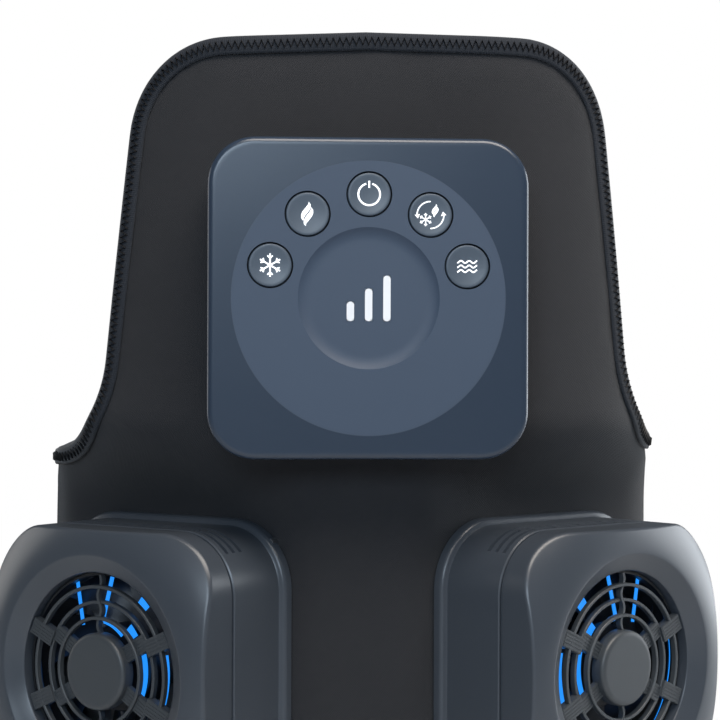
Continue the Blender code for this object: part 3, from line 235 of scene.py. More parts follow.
class WrapSettings(PropertyGroup):
    """Sizes and colours of the fabric, its binding and its straps."""

    cell: length("Cloth cell", "Size of the cloth's mesh cells", 2.8)
    swell: length("Swell", "How far the free cloth swells and sinks", 0.45)
    tooth_pitch: length("Stitch pitch", "Length of one zigzag stitch along the binding", 1.55)
    tooth_height: length("Stitch height", "Height of one zigzag stitch across the binding", 1.85)
    thread: length("Thread", "Thickness of the sewing thread", 0.62)
    weave_pitch: length("Weave pitch", "Distance between the cloth's twill lines", 0.6)
    cloth_colour: colour("Cloth", "Colour of the wrap's cloth", (0.0185, 0.0195, 0.0225))
    binding_colour: colour("Binding", "Colour of the binding tape", (0.0105, 0.014, 0.0205))
    thread_colour: colour("Thread colour", "Colour of the zigzag thread", (0.004, 0.004, 0.005))
    strap_colour: colour("Straps", "Colour of the elastic straps", (0.02, 0.021, 0.024))
    tape_colour: colour("Tape", "Colour of the hook and loop tape", (0.014, 0.015, 0.017))


class ControlSettings(PropertyGroup):
    """Sizes and colours of the control and its buttons."""

    icon_line: length("Icon line", "Width of the icons' lines", 0.42)
    icon_raise: length("Icon raise", "How far the icons stand above the buttons", 0.03)
    shell_colour: colour("Shell", "Colour of the control's shell", (0.022, 0.034, 0.055))
    zone_colour: colour("Zone", "Colour of the round zone under the buttons", (0.031, 0.051, 0.086))
    button_colour: colour("Buttons", "Colour of the buttons", (0.055, 0.074, 0.1))
    icon_colour: colour("Icons", "Colour of the icons and level bars", (0.9, 0.92, 0.95))


class ModuleSettings(PropertyGroup):
    """Sizes and colours of the two fan modules."""

    edge: length("Cover edge", "Rounding of the cover's outer edge", 0.7)
    shell_colour: colour("Shell", "Colour of the covers and housings", (0.042, 0.05, 0.062))
    grille_colour: colour("Grille", "Colour of the grilles", (0.04, 0.046, 0.052))
    dark_colour: colour("Dark parts", "Colour of fans, trims and inner plastic", (0.010, 0.011, 0.013))
    # The glow colour and strength light the LED ring and also the glowing strips that paint its
    # reflections on the fan blades and inner wall.
    glow_colour: colour("Light", "Colour of the light behind the grilles", (0.014, 0.26, 0.9))
    glow: FloatProperty(name="Glow", description="Strength of the light behind the grilles",
                        default=1.15, min=0.0)


class StageSettings(PropertyGroup):
    """Lamps, floor and camera."""

    key: FloatProperty(name="Key lamp", description="Power of the large front lamp in watts",
                       default=7.5, min=0.0)
    rim: FloatProperty(name="Rim lamps", description="Power of the lamp behind on the right in watts",
                       default=7.5, min=0.0)
    top: FloatProperty(name="Top lamp", description="Power of the lamp above in watts",
                       default=4.0, min=0.0)
    fill: FloatProperty(name="Fill", description="Strength of the even light all round",
                        default=0.1, min=0.0)
    floor_gap: length("Floor gap", "Distance from the wrap's lower edge to the floor", 0.6)
    lens: FloatProperty(name="Lens", description="Focal length in millimetres", default=89.9, min=1.0)


def settings(name):
    return getattr(bpy.context.scene, "knee_wrap_" + name)


# Shaders

WEAVE_DEPTH = 0.12 * MM
PLASTIC_GRAIN = 0.012 * MM


def sign(operation):
    """A sign between numbers as a Math node, and the same with its two sides swapped."""
    return (lambda self, other: self.maths(operation, self, other),
            lambda self, other: self.maths(operation, other, self))


class Number:
    """A number in a shader. Signs between numbers and Python values make Math nodes."""

    def __init__(self, tree, socket):
        self.tree = tree
        self.socket = socket

    def maths(self, operation, *values):
        node = self.tree.nodes.new("ShaderNodeMath")
        node.operation = operation
        for value, target in zip(values, node.inputs):
            if isinstance(value, Number):
                self.tree.links.new(value.socket, target)
            else:
                target.default_value = value
        return Number(self.tree, node.outputs[0])

    __add__, __radd__ = sign("ADD")
    __sub__, __rsub__ = sign("SUBTRACT")
    __mul__, __rmul__ = sign("MULTIPLY")
    __truediv__, __rtruediv__ = sign("DIVIDE")

    def sine(self):
        return self.maths("SINE", self)

    def root(self):
        return self.maths("SQRT", self)

    def between(self, low, high):
        """0 up to low, 1 from high, and a straight ramp between them."""
        ramp = self.tree.nodes.new("ShaderNodeMapRange")
        ramp.inputs["From Min"].default_value = low
        ramp.inputs["From Max"].default_value = high
        self.tree.links.new(self.socket, ramp.inputs["Value"])
        return Number(self.tree, ramp.outputs[0])


class Finish:
    """A material with one Principled shader."""

    def __init__(self, name, base, roughness, metallic=0.0, **constants):
        self.material = bpy.data.materials.new(name)
        self.material.use_nodes = True
        self.tree = self.material.node_tree
        self.shader = self.tree.nodes["Principled BSDF"]
        self.put("Base Color", (*base, 1.0))
        self.put("Roughness", roughness)
        self.put("Metallic", metallic)
        for key, value in constants.items():
            self.put(key.replace("_", " ").title(), value)

    def put(self, name, value):
        """Set one of the shader's inputs to a constant or to a number or socket."""
        target = self.shader.inputs["Specular IOR Level" if name == "Specular" else name]
        if isinstance(value, Number):
            value = value.socket
        if isinstance(value, bpy.types.NodeSocket):
            self.tree.links.new(value, target)
        else:
            target.default_value = value

    def node(self, kind, choices=None, values=None):
        """Add a node. Its choices are set first, then its inputs."""
        made = self.tree.nodes.new(kind)
        for key, value in (choices or {}).items():
            setattr(made, key, value)
        for key, value in (values or {}).items():
            if isinstance(value, Number):
                value = value.socket
            if isinstance(value, bpy.types.NodeSocket):
                self.tree.links.new(value, made.inputs[key])
            else:
                made.inputs[key].default_value = value
        return made

    def place(self):
        """The point on the piece, in the row frame."""
        return self.node("ShaderNodeTexCoord").outputs["Object"]

    def axes(self, vector):
        split = self.node("ShaderNodeSeparateXYZ", None, {"Vector": vector})
        return [Number(self.tree, socket) for socket in split.outputs]

    def cloth(self):
        """Flat place on a cloth piece: distance along and across it."""
        return self.axes(self.node("ShaderNodeUVMap", {"uv_map": "cloth"}).outputs["UV"])

    def grain(self, scale, detail=2.0):
        made = self.node("ShaderNodeTexNoise", None,
                         {"Vector": self.place(), "Scale": scale, "Detail": detail})
        return Number(self.tree, made.outputs["Fac"])

    def mix(self, share, first, second):
        """A colour between two colours, as the share goes from 0 to 1."""
        made = self.tree.nodes.new("ShaderNodeMix")
        made.data_type = "RGBA"
        self.tree.links.new(share.socket, made.inputs["Factor"])
        targets = [socket for socket in made.inputs if socket.type == "RGBA"]
        for target, value in zip(targets, (first, second)):
            if isinstance(value, bpy.types.NodeSocket):
                self.tree.links.new(value, target)
            else:
                target.default_value = (*value, 1.0)
        return [socket for socket in made.outputs if socket.type == "RGBA"][0]

    def bump(self, height, depth, strength=1.0):
        made = self.node("ShaderNodeBump", None, {"Height": height, "Distance": depth,
                                                  "Strength": strength})
        self.put("Normal", made.outputs["Normal"])


def shade(value, factor):
    return tuple(min(1.0, part * factor) for part in value)


def cloth_finish(name, base, pitch):
    """Fine twill: lines across the cloth at a slant, broken by a crossing set."""
    finish = Finish(name, base, 0.88, Sheen_Weight=0.1, Sheen_Roughness=0.5, Specular=0.25)
    along, across, _ = finish.cloth()
    slant = ((along + across * 1.7) * (2 * math.pi / pitch)).sine()
    cross = ((along * 1.3 - across) * (2 * math.pi / pitch)).sine()
    weave = slant * 0.4 + cross * 0.4 + 0.5
    patchy = finish.grain(60.0, 3.0)
    share = (weave * 0.75 + patchy * 0.5).between(0.0, 1.3)
    finish.put("Base Color", finish.mix(share, shade(base, 0.72), shade(base, 1.3)))
    finish.bump(weave + patchy * 0.3, WEAVE_DEPTH, 0.5)
    return finish.material


def ribbed_finish(name, base, pitch):
    """Woven tape with ribs across it."""
    finish = Finish(name, base, 0.8, Sheen_Weight=0.15, Specular=0.3)
    along, across, _ = finish.cloth()
    ribs = (along * (2 * math.pi / pitch)).sine()
    cross = (across * (2 * math.pi / (1.4 * pitch))).sine()
    height = ribs * 0.5 + cross * 0.2 + finish.grain(900.0) * 0.3
    finish.put("Base Color", finish.mix(height.between(-0.7, 1.0), shade(base, 0.75), shade(base, 1.2)))
    finish.bump(height, 0.1 * MM, 0.5)
    return finish.material


def fuzzy_finish(name, base):
    """The loops and hooks of fastening tape."""
    finish = Finish(name, base, 0.95, Sheen_Weight=0.2, Specular=0.15)
    fuzz = finish.grain(1400.0, 4.0)
    finish.put("Base Color", finish.mix(fuzz, shade(base, 0.6), shade(base, 1.6)))
    finish.bump(fuzz, 0.35 * MM, 0.8)
    return finish.material


def plastic_finish(name, base, roughness):
    """Moulded plastic with a fine grain and slight wear in its gloss."""
    finish = Finish(name, base, roughness)
    fine = finish.grain(2600.0, 3.0)
    broad = finish.grain(35.0, 3.0)
    finish.put("Roughness", broad * 0.08 + (roughness - 0.04))
    finish.put("Base Color", finish.mix(broad, shade(base, 0.94), shade(base, 1.06)))
    finish.bump(fine, PLASTIC_GRAIN, 0.6)
    return finish.material


def metal_finish(name, base, roughness):
    finish = Finish(name, base, roughness, 1.0)
    brushed = finish.grain(400.0, 3.0)
    finish.put("Roughness", brushed * 0.15 + (roughness - 0.07))
    finish.bump(brushed, 0.01 * MM, 0.4)
    return finish.material


def control_finish(choices):
    """The shell's satin plastic, a shade darker in the round zone under the buttons."""
    finish = Finish("control shell", tuple(choices.shell_colour), 0.4)
    x, y, z = finish.axes(finish.place())
    up = z - CONTROL_HEIGHT
    radius = (x * x + up * up).root()
    front = (y + CONTROL_FRONT).between(0.4 * MM, 1.3 * MM)
    outside = radius.between(ZONE_RADIUS - 0.1 * MM, ZONE_RADIUS + 0.1 * MM)
    share = outside.maths("MAXIMUM", outside, front * radius.between(RECESS_RADIUS, RECESS_RADIUS + MM))
    finish.put("Base Color", finish.mix(share, tuple(choices.zone_colour), tuple(choices.shell_colour)))
    finish.put("Roughness", share * -0.36 + finish.grain(40.0, 3.0) * 0.04 + 0.6)
    finish.bump(finish.grain(2600.0, 3.0), PLASTIC_GRAIN, 0.6)
    return finish.material


def light_finish(name, glow, strength):
    finish = Finish(name, (0.02, 0.05, 0.1), 0.4)
    finish.put("Emission Color", (*glow, 1.0))
    finish.put("Emission Strength", strength)
    return finish.material


# Meshes

SHARP_ANGLE = 35.0
ROUND_STEPS = 64
RING_STEPS = 96
SQUARE_STEPS = 192


def piece(name, bm, *materials, angle=SHARP_ANGLE, weighted=True):
    """Make an object of a bmesh in the row frame, with smooth faces and sharp edges."""
    bmesh.ops.recalc_face_normals(bm, faces=bm.faces[:])
    name = name.replace(" ", "_")
    mesh = bpy.data.meshes.new(name)
    bm.to_mesh(mesh)
    bm.free()
    made = bpy.data.objects.new(name, mesh)
    bpy.context.scene.collection.objects.link(made)
    for material in materials:
        mesh.materials.append(material)
    finish_faces(made, angle, weighted)
    return made


def finish_faces(made, angle, weighted):
    made.data.polygons.foreach_set("use_smooth", [True] * len(made.data.polygons))
    made.data.set_sharp_from_angle(angle=math.radians(angle))
    if weighted:
        modifier = made.modifiers.new("even shading", "WEIGHTED_NORMAL")
        modifier.keep_sharp = True


def loft(bm, rings, loop=False, caps=False, material=0):
    """Faces between rings of points, one after the other."""
    rows = [[bm.verts.new(point) for point in ring] for ring in rings]
    pairs = list(zip(rows, rows[1:]))
    if loop:
        pairs.append((rows[-1], rows[0]))
    faces = []
    for low, high in pairs:
        count = len(low)
        for index in range(count):
            after = (index + 1) % count
            faces.append(bm.faces.new((low[index], low[after], high[after], high[index])))
    if caps:
        faces.append(bm.faces.new(rows[0][::-1]))
        faces.append(bm.faces.new(rows[-1]))
    for face in faces:
        face.material_index = material
    return rows


def ring_of(radius, depth, steps, centre=(0.0, 0.0)):
    """Points round a circle that faces the front, seen as (x, depth, z)."""
    turns = (2 * math.pi * index / steps for index in range(steps))
    return [Vector((centre[0] + radius * math.cos(turn), depth, centre[1] + radius * math.sin(turn)))
            for turn in turns]


def square_reach(angle, half, corner):
    """How far a rounded square reaches from its middle at an angle."""
    across, up = abs(math.cos(angle)), abs(math.sin(angle))
    flat = half - corner
    if min(across, up) / max(across, up) * half <= flat:
        return half / max(across, up)
    both = flat * (across + up)
    return both + math.sqrt(both * both - 2 * flat * flat + corner * corner)


def square_reaches(half, corner, steps):
    for index in range(steps):
        turn = 2 * math.pi * index / steps
        yield turn, square_reach(turn, half, corner)


def square_ring(half, corner, depth, steps):
    return [Vector((reach * math.cos(turn), depth, reach * math.sin(turn)))
            for turn, reach in square_reaches(half, corner, steps)]


def turned(bm, profile, steps, centre=(0.0, 0.0), closed=False, material=0):
    """A turned solid from (radius, depth) points. Ends on the axis are closed by a flat cap."""
    rings = [ring_of(radius, depth, steps, centre) for radius, depth in profile]
    loft(bm, rings, loop=closed, caps=not closed, material=material)


def box(bm, low, high):
    made = bmesh.ops.create_cube(bm, size=1.0)
    middle = (Vector(low) + Vector(high)) / 2
    size = Vector(high) - Vector(low)
    for vert in made["verts"]:
        vert.co = Vector(a * b for a, b in zip(vert.co, size)) + middle
    return made["verts"]


def turn_verts(verts, degrees):
    """Turn points in the face plane, from +X towards +Z."""
    cos, sin = math.cos(math.radians(degrees)), math.sin(math.radians(degrees))
    for vert in verts:
        x, y, z = vert.co
        vert.co = Vector((x * cos - z * sin, y, x * sin + z * cos))


def cut_away(made, tool_mesh):
    """Cut one bmesh out of a piece for good."""
    tool = piece("tool", tool_mesh, weighted=False)
    made.modifiers.clear()
    modifier = made.modifiers.new("cut", "BOOLEAN")
    modifier.operation = "DIFFERENCE"
    modifier.solver = "EXACT"
    modifier.object = tool
    bpy.context.view_layer.update()
    graph = bpy.context.evaluated_depsgraph_get()
    mesh = bpy.data.meshes.new_from_object(made.evaluated_get(graph))
    made.modifiers.clear()
    old = made.data
    made.data = mesh
    mesh.name = old.name
    bpy.data.meshes.remove(old)
    used = tool.data
    bpy.data.objects.remove(tool)
    bpy.data.meshes.remove(used)
    finish_faces(made, SHARP_ANGLE, True)


def ease(share):
    share = min(max(share, 0.0), 1.0)
    return share * share * (3 - 2 * share)


def spaced(start, end, step):
    count = max(1, round(abs(end - start) / step))
    return [start + (end - start) * index / count for index in range(count + 1)]


# The wrap's surface


def leg_runs():
    """Lengths and bend radii round half of the knee, from the front to the back."""
    rest = math.pi / 2 - PLATE_ANGLE
    return [(KNEE_FLAT_HALF, 0.0), (KNEE_BEND_RADIUS * PLATE_ANGLE, KNEE_BEND_RADIUS),
            (PLATE_RUN, 0.0), (SIDE_BEND_RADIUS * rest, SIDE_BEND_RADIUS), (SIDE_RUN, 0.0),
            (BACK_BEND_RADIUS * math.pi / 2, BACK_BEND_RADIUS)]


def walk(runs, distance):
    """Where a walk along the runs ends. What is left after the last run goes straight on."""
    x, y, heading = 0.0, -WRAP_FRONT, 0.0
    for run, radius in runs:
        step = min(distance, run)
        if radius:
            onward = heading + step / radius
            x += radius * (math.sin(onward) - math.sin(heading))
            y += radius * (math.cos(heading) - math.cos(onward))
            heading = onward
        else:
            x += step * math.cos(heading)
            y += step * math.sin(heading)
        distance -= step
        if distance <= 0:
            return Vector((x, y))
    return Vector((x + distance * math.cos(heading), y + distance * math.sin(heading)))


RUNS = leg_runs()
ARC_END = sum(run for run, radius in RUNS)
HALF_GIRTH = ARC_END + walk(RUNS, ARC_END).x
MODULE_MIDDLE = KNEE_FLAT_HALF + KNEE_BEND_RADIUS * PLATE_ANGLE + PLATE_RUN / 2


def knee_point(distance):
    """A point on the knee's outline. Past the middle of the back it comes round on the other side."""
    if distance > HALF_GIRTH:
        distance -= 2 * HALF_GIRTH
    if distance < -HALF_GIRTH:
        distance += 2 * HALF_GIRTH
    point = walk(RUNS, abs(distance))
    return Vector((math.copysign(point.x, distance), point.y))


def thigh_point(distance):
    over = abs(distance) - THIGH_FLAT_HALF
    if over <= 0:
        return Vector((distance, -WRAP_FRONT))
    turn = over / THIGH_RADIUS
    x = THIGH_FLAT_HALF + THIGH_RADIUS * math.sin(turn)
    return Vector((math.copysign(x, distance), -WRAP_FRONT + THIGH_RADIUS * (1 - math.cos(turn))))


def wrap_point(distance, height):
    """The wrap's outer face at a distance round the leg and a height."""
    knee = knee_point(distance)
    up = ease((abs(height) - BLEND_FROM) / BLEND_HEIGHT)
    across = 1 - ease((abs(distance) - SIDE_BLEND_FROM) / SIDE_BLEND_RUN)
    if up * across > 0:
        knee = knee.lerp(thigh_point(distance), up * across)
    return Vector((knee.x, knee.y, height))


def wrap_normal(distance, height):
    near = WRAP_THICKNESS / 10
    along = wrap_point(distance + near, height) - wrap_point(distance - near, height)
    upward = wrap_point(distance, height + near) - wrap_point(distance, height - near)
    return along.cross(upward).normalized()


def on_wrap(distance, height, out):
    """A point that far off the wrap's face. The left side lies closer to the leg than in the frame."""
    out -= SIDE_DRAW * ease((-distance - SIDE_DRAW_FROM) / SIDE_DRAW_RUN)
    return wrap_point(distance, height) + wrap_normal(distance, height) * out


def rounded_outline(corners, steps):
    """Points round an outline whose corners are (distance, height, radius)."""
    points = []
    count = len(corners)
    for index, (distance, height, radius) in enumerate(corners):
        here = Vector((distance, height))
        before = (Vector(corners[index - 1][:2]) - here).normalized()
        after = (Vector(corners[(index + 1) % count][:2]) - here).normalized()
        if not radius:
            points.append(here)
            continue
        half = before.angle(after) / 2
        centre = here + (before + after).normalized() * (radius / math.sin(half))
        start = here + before * (radius / math.tan(half)) - centre
        end = here + after * (radius / math.tan(half)) - centre
        turn = start.angle_signed(end)
        for step in range(steps + 1):
            angle = -turn * step / steps
            cos, sin = math.cos(angle), math.sin(angle)
            points.append(centre + Vector((start.x * cos - start.y * sin,
                                           start.x * sin + start.y * cos)))
    return points


def wrap_outline():
    quarter = [(TONGUE_HALF_TOP, TONGUE_TOP - TONGUE_CORNER_DROP, TONGUE_CORNER_RADIUS),
               (TONGUE_HALF_FOOT, WING_TOP_ROOT, WING_ROOT_RADIUS),
               (WING_REACH, WING_TOP_END, WING_CORNER_RADIUS)]
    upper_right = [(x + right, z + up, radius)
                   for (x, z, radius), (right, up) in zip(quarter, LEAN_RIGHT)]
    upper_left = [(-x + right, z + up, radius)
                  for (x, z, radius), (right, up) in zip(quarter, LEAN_LEFT)]
    lower_right = [(x, -z, radius) for x, z, radius in reversed(quarter)]
    lower_left = [(-x, -z, radius) for x, z, radius in quarter]
    return rounded_outline([(0.0, TONGUE_TOP, 0.0)] + upper_right + lower_right
                           + [(0.0, -TONGUE_TOP, 0.0)] + lower_left + upper_left[::-1], OUTLINE_STEPS)


def evenly(points, step, closed=True):
    """The same line with its points a step apart, each with the way it runs."""
    line = np.array([(point.x, point.y) for point in points])
    if closed:
        line = np.vstack([line, line[:1]])
    runs = np.hypot(*np.diff(line, axis=0).T)
    far = np.concatenate([[0.0], np.cumsum(runs)])
    count = max(2, round(far[-1] / step))
    marks = np.linspace(0.0, far[-1], count + 1)
    if closed:
        marks = marks[:-1]
    xs, zs = np.interp(marks, far, line[:, 0]), np.interp(marks, far, line[:, 1])
    return [Vector((x, z)) for x, z in zip(xs, zs)], far[-1]


def sideways(points, closed=True):
    """For each point of a line, the way across it, to the left of its run."""
    count = len(points)
    ways = []
    for index in range(count):
        before = points[index - 1] if closed or index else points[index]
        after = points[(index + 1) % count] if closed or index < count - 1 else points[index]
        run = (after - before).normalized()
        ways.append(Vector((-run.y, run.x)))
    return ways


def flat_sheet(outline):
    """One face across X and Z, seen from the front."""
    bm = bmesh.new()
    face = bm.faces.new([bm.verts.new((point.x, 0, point.y)) for point in outline])
    face.normal_update()
    if face.normal.y > 0:
        face.normal_flip()
    return bm


def slice_sheet(bm, distances, heights):
    """Cut a flat sheet into cells, so that it can bend."""
    for normal, values in (((1, 0, 0), distances), ((0, 0, 1), heights)):
        for value in values:
            bmesh.ops.bisect_plane(bm, geom=bm.verts[:] + bm.edges[:] + bm.faces[:], dist=0.01 * MM,
                                   plane_co=Vector(normal) * value, plane_no=normal)


def bend(bm, thickness, lift):
    """Lay a flat sheet on the leg as a solid and keep its flat places as its cloth map.

    lift(distance, height) is how far its outer face stands off the wrap. thickness may be a
    function of the same two.
    """
    made = bmesh.ops.extrude_face_region(bm, geom=bm.faces[:])
    inner = {item for item in made["geom"] if isinstance(item, bmesh.types.BMVert)}
    cloth = bm.loops.layers.uv.new("cloth")
    for face in bm.faces:
        for loop in face.loops:
            loop[cloth].uv = (loop.vert.co.x, loop.vert.co.z)
    for vert in bm.verts:
        distance, height = vert.co.x, vert.co.z
        out = lift(distance, height)
        if vert in inner:
            out -= thickness(distance, height) if callable(thickness) else thickness
        vert.co = on_wrap(distance, height, out)


def thread_run(bm, points, high, half_width, closed=False):
    """A thread along flat points on the wrap, with a square section on its corner."""
    rings = []
    for point, way in zip(points, sideways(points, closed)):
        left, right = point + way * half_width, point - way * half_width
        rings.append([on_wrap(left.x, left.y, high),
                      on_wrap(point.x, point.y, high + half_width * THREAD_CROWN),
                      on_wrap(right.x, right.y, high), on_wrap(point.x, point.y, high - half_width)])
    loft(bm, rings, loop=closed, caps=not closed)


def stitches(bm, line, high, half_width, closed=False):
    """Short stitches along a line of flat points."""
    points, _ = evenly(line, STITCH_STEP, closed)
    per, skip = round(STITCH_LENGTH / STITCH_STEP), round(STITCH_GAP / STITCH_STEP)
    start = 0
    while start + per < len(points):
        thread_run(bm, points[start:start + per + 1:per // 3], high, half_width)
        start += per + skip


# Fabric


BUSY = ((MODULE_MIDDLE, 0.0, 42 * MM, 42 * MM), (-MODULE_MIDDLE, 0.0, 42 * MM, 42 * MM),
        (0.0, CONTROL_HEIGHT, 43 * MM, 43 * MM),
        (-(STRAP_ROOT - STRAP_SEWN_LENGTH / 2), STRAP_HEIGHT, 26 * MM, 24 * MM),
        (-(STRAP_ROOT - STRAP_SEWN_LENGTH / 2), -STRAP_HEIGHT, 26 * MM, 24 * MM),
        (sum(LOOP_PATCH[:2]) / 2, STRAP_HEIGHT, 34 * MM, 24 * MM),
        (sum(LOOP_PATCH[:2]) / 2, -STRAP_HEIGHT, 34 * MM, 24 * MM))


def calm(distance, height):
    """0 where something lies on the cloth, and 1 well away from it."""
    share = 1.0
    for x, z, half_width, half_height in BUSY:
        away = max(abs(distance - x) - half_width, abs(height - z) - half_height)
        share *= ease(away / (14 * MM))
    return share


def make_fabric(choices):
    outline = wrap_outline()
    bm = flat_sheet(outline)
    bmesh.ops.inset_region(bm, faces=bm.faces[:], thickness=1.3 * MM, depth=0,
                           use_even_offset=True, use_boundary=True)
    middle = max(bm.faces, key=lambda face: len(face.verts))
    bmesh.ops.delete(bm, geom=[face for face in bm.faces if face is not middle], context="FACES")
    windows = [side * (MODULE_MIDDLE + end * WINDOW_HALF) for side in (-1, 1) for end in (-1, 1)]
    slice_sheet(bm, windows + spaced(-WING_REACH, WING_REACH, choices.cell),
                [-WINDOW_HALF, WINDOW_HALF] + spaced(-TONGUE_TOP, TONGUE_TOP, choices.cell))
    hidden = [face for face in bm.faces
              if abs(abs(face.calc_center_median().x) - MODULE_MIDDLE) < WINDOW_HALF
              and abs(face.calc_center_median().z) < WINDOW_HALF]
    bmesh.ops.delete(bm, geom=hidden, context="FACES")
    points = np.array([tuple(p) for p in evenly(outline, 1.0 * MM)[0]])

    def edge_share(distance, height):
        """1 under the binding, and 0 from a few millimetres inside it."""
        away = np.hypot(points[:, 0] - distance, points[:, 1] - height).min()
        return 1 - ease((away - (BINDING_WIDTH - 0.4 * MM)) / (2.6 * MM)), away

    def lift(distance, height):
        edge, away = edge_share(distance, height)
        loose = calm(distance, height) * (1 - edge)
        swell = noise.noise(Vector((distance * 22, height * 22, 0.3))) * choices.swell
        pucker = noise.noise(Vector((distance * 110, height * 110, 5.0))) * 0.1 * MM
        near = math.exp(-((away - BINDING_WIDTH) / (7 * MM)) ** 2)
        return (swell + pucker * (1 + 2 * near)) * loose - 0.45 * MM * edge

    def thickness(distance, height):
        return WRAP_THICKNESS - 0.9 * MM * edge_share(distance, height)[0]

    bend(bm, thickness, lift)
    made = piece("wrap fabric", bm, cloth_finish("neoprene cloth", tuple(choices.cloth_colour),
                                                  choices.weave_pitch), weighted=False)
    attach(made, "wrap")
    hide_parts("wrap_body")
    return made, polygon_area(points) - 2 * (2 * WINDOW_HALF) ** 2


def polygon_area(points):
    x, z = points[:, 0], points[:, 1]
    return abs(np.dot(x, np.roll(z, 1)) - np.dot(z, np.roll(x, 1))) / 2


TAPE = ((4.4, -0.05), (4.36, 0.3), (4.1, 0.52), (3.4, 0.66), (2.2, 0.7), (1.0, 0.62), (0.35, 0.35),
        (0.06, -0.2), (0.0, -1.2), (0.0, -2.8), (0.06, -3.8), (0.35, -4.35), (1.0, -4.62),
        (2.2, -4.7), (3.4, -4.66), (4.1, -4.52), (4.36, -4.3), (4.4, -3.95), (4.1, -3.9),
        (0.9, -3.7), (0.6, -2.0), (0.9, -0.3), (4.1, -0.1))


def make_binding(choices):
    """A folded tape swept round the edge, and its zigzag seam on both faces."""
    outline = wrap_outline()
    points, whole = evenly(outline, 1.25 * MM)
    ways = sideways(points)
    inward = 1 if polygon_inside(points) else -1
    bm = bmesh.new()
    cloth = bm.loops.layers.uv.new("cloth")
    rings, marks = [], []
    for index, (point, way) in enumerate(zip(points, ways)):
        ring = []
        for across, out in TAPE:
            flat = point + way * (inward * across * MM)
            ring.append(on_wrap(flat.x, flat.y, out * MM))
        rings.append(ring)
        marks.append(whole * index / len(points))
    rows = loft(bm, rings, loop=True)
    where = {}
    girth = np.concatenate([[0.0], np.cumsum(np.hypot(*np.diff(np.array(TAPE), axis=0).T))]) * MM
    for mark, row in zip(marks, rows):
        for far, vert in zip(girth, row):
            where[vert] = (mark, far)
    for face in bm.faces:
        ends = [where[loop.vert] for loop in face.loops]
        over = max(mark for mark, far in ends) > whole * 0.9
        for loop, (mark, far) in zip(face.loops, ends):
            loop[cloth].uv = (mark + (whole if over and mark < whole * 0.1 else 0.0), far)
    tape = piece("binding tape", bm, ribbed_finish("binding tape", tuple(choices.binding_colour),
                                                   0.5 * MM), weighted=False, angle=60)
    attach(tape, "wrap")
    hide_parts("edge_binding")

    count = round(whole / choices.tooth_pitch)
    line, _ = evenly(outline, whole / count / 2)
    line = line[:2 * count]
    ways = sideways(line)
    low, high = SEAM_INSET - choices.tooth_height / 2, SEAM_INSET + choices.tooth_height / 2
    zigzag = [point + way * (inward * (high if index % 2 else low))
              for index, (point, way) in enumerate(zip(line, ways))]
    seam = bmesh.new()
    half = choices.thread / 2
    thread_run(seam, zigzag, BINDING_PROUD - THREAD_SINK, half, closed=True)
    thread_run(seam, zigzag, -WRAP_THICKNESS - BINDING_PROUD, half, closed=True)
    made = piece("zigzag seam", seam, thread_finish(choices), weighted=False, angle=80)
    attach(made, "wrap")
    return tape


def thread_finish(choices):
    found = bpy.data.materials.get("sewing thread")
    if found is None:
        finish = Finish("sewing thread", tuple(choices.thread_colour), 0.6)
        twist = finish.grain(1500.0)
        finish.put("Roughness", twist * 0.2 + 0.5)
        found = finish.material
    return found


def polygon_inside(points):
    """True if the outline's sideways directions point into it."""
    run = np.array([tuple(p) for p in points])
    x, z = run[:, 0], run[:, 1]
    return np.dot(np.roll(x, 1), z) - np.dot(x, np.roll(z, 1)) > 0


# Straps


def strip(start, end, width, height, tip=0.0):
    low, high = height - width / 2, height + width / 2
    return rounded_outline([(start, high, 0.0), (end, high, tip), (end, low, tip), (start, low, 0.0)],
                           steps=8)


def strap_lift(distance):
    """How far the strap's outer face stands off the wrap on its way round the back."""
    way = abs(distance) - STRAP_ROOT
    patches = 2 * (SOFT_GAP + PATCH_THICKNESS)
    rise = (BINDING_PROUD + GAP) * ease((way - STRAP_ROOT_RUN) / STRAP_RISE_RUN)
    climb = (patches - BINDING_PROUD - GAP) * ease((way - STRAP_CLIMB_FROM) / STRAP_CLIMB_RUN)
    return SOFT_GAP + rise + climb + STRAP_THICKNESS


def soft_strip(name, outline, steps, thickness, lift, finish):
    bm = flat_sheet(outline)
    xs = [point.x for point in outline]
    zs = [point.y for point in outline]
    slice_sheet(bm, spaced(min(xs), max(xs), steps), spaced(min(zs), max(zs), 4 * MM))
    bend(bm, thickness, lift)
    return piece(name, bm, finish, weighted=False, angle=50)


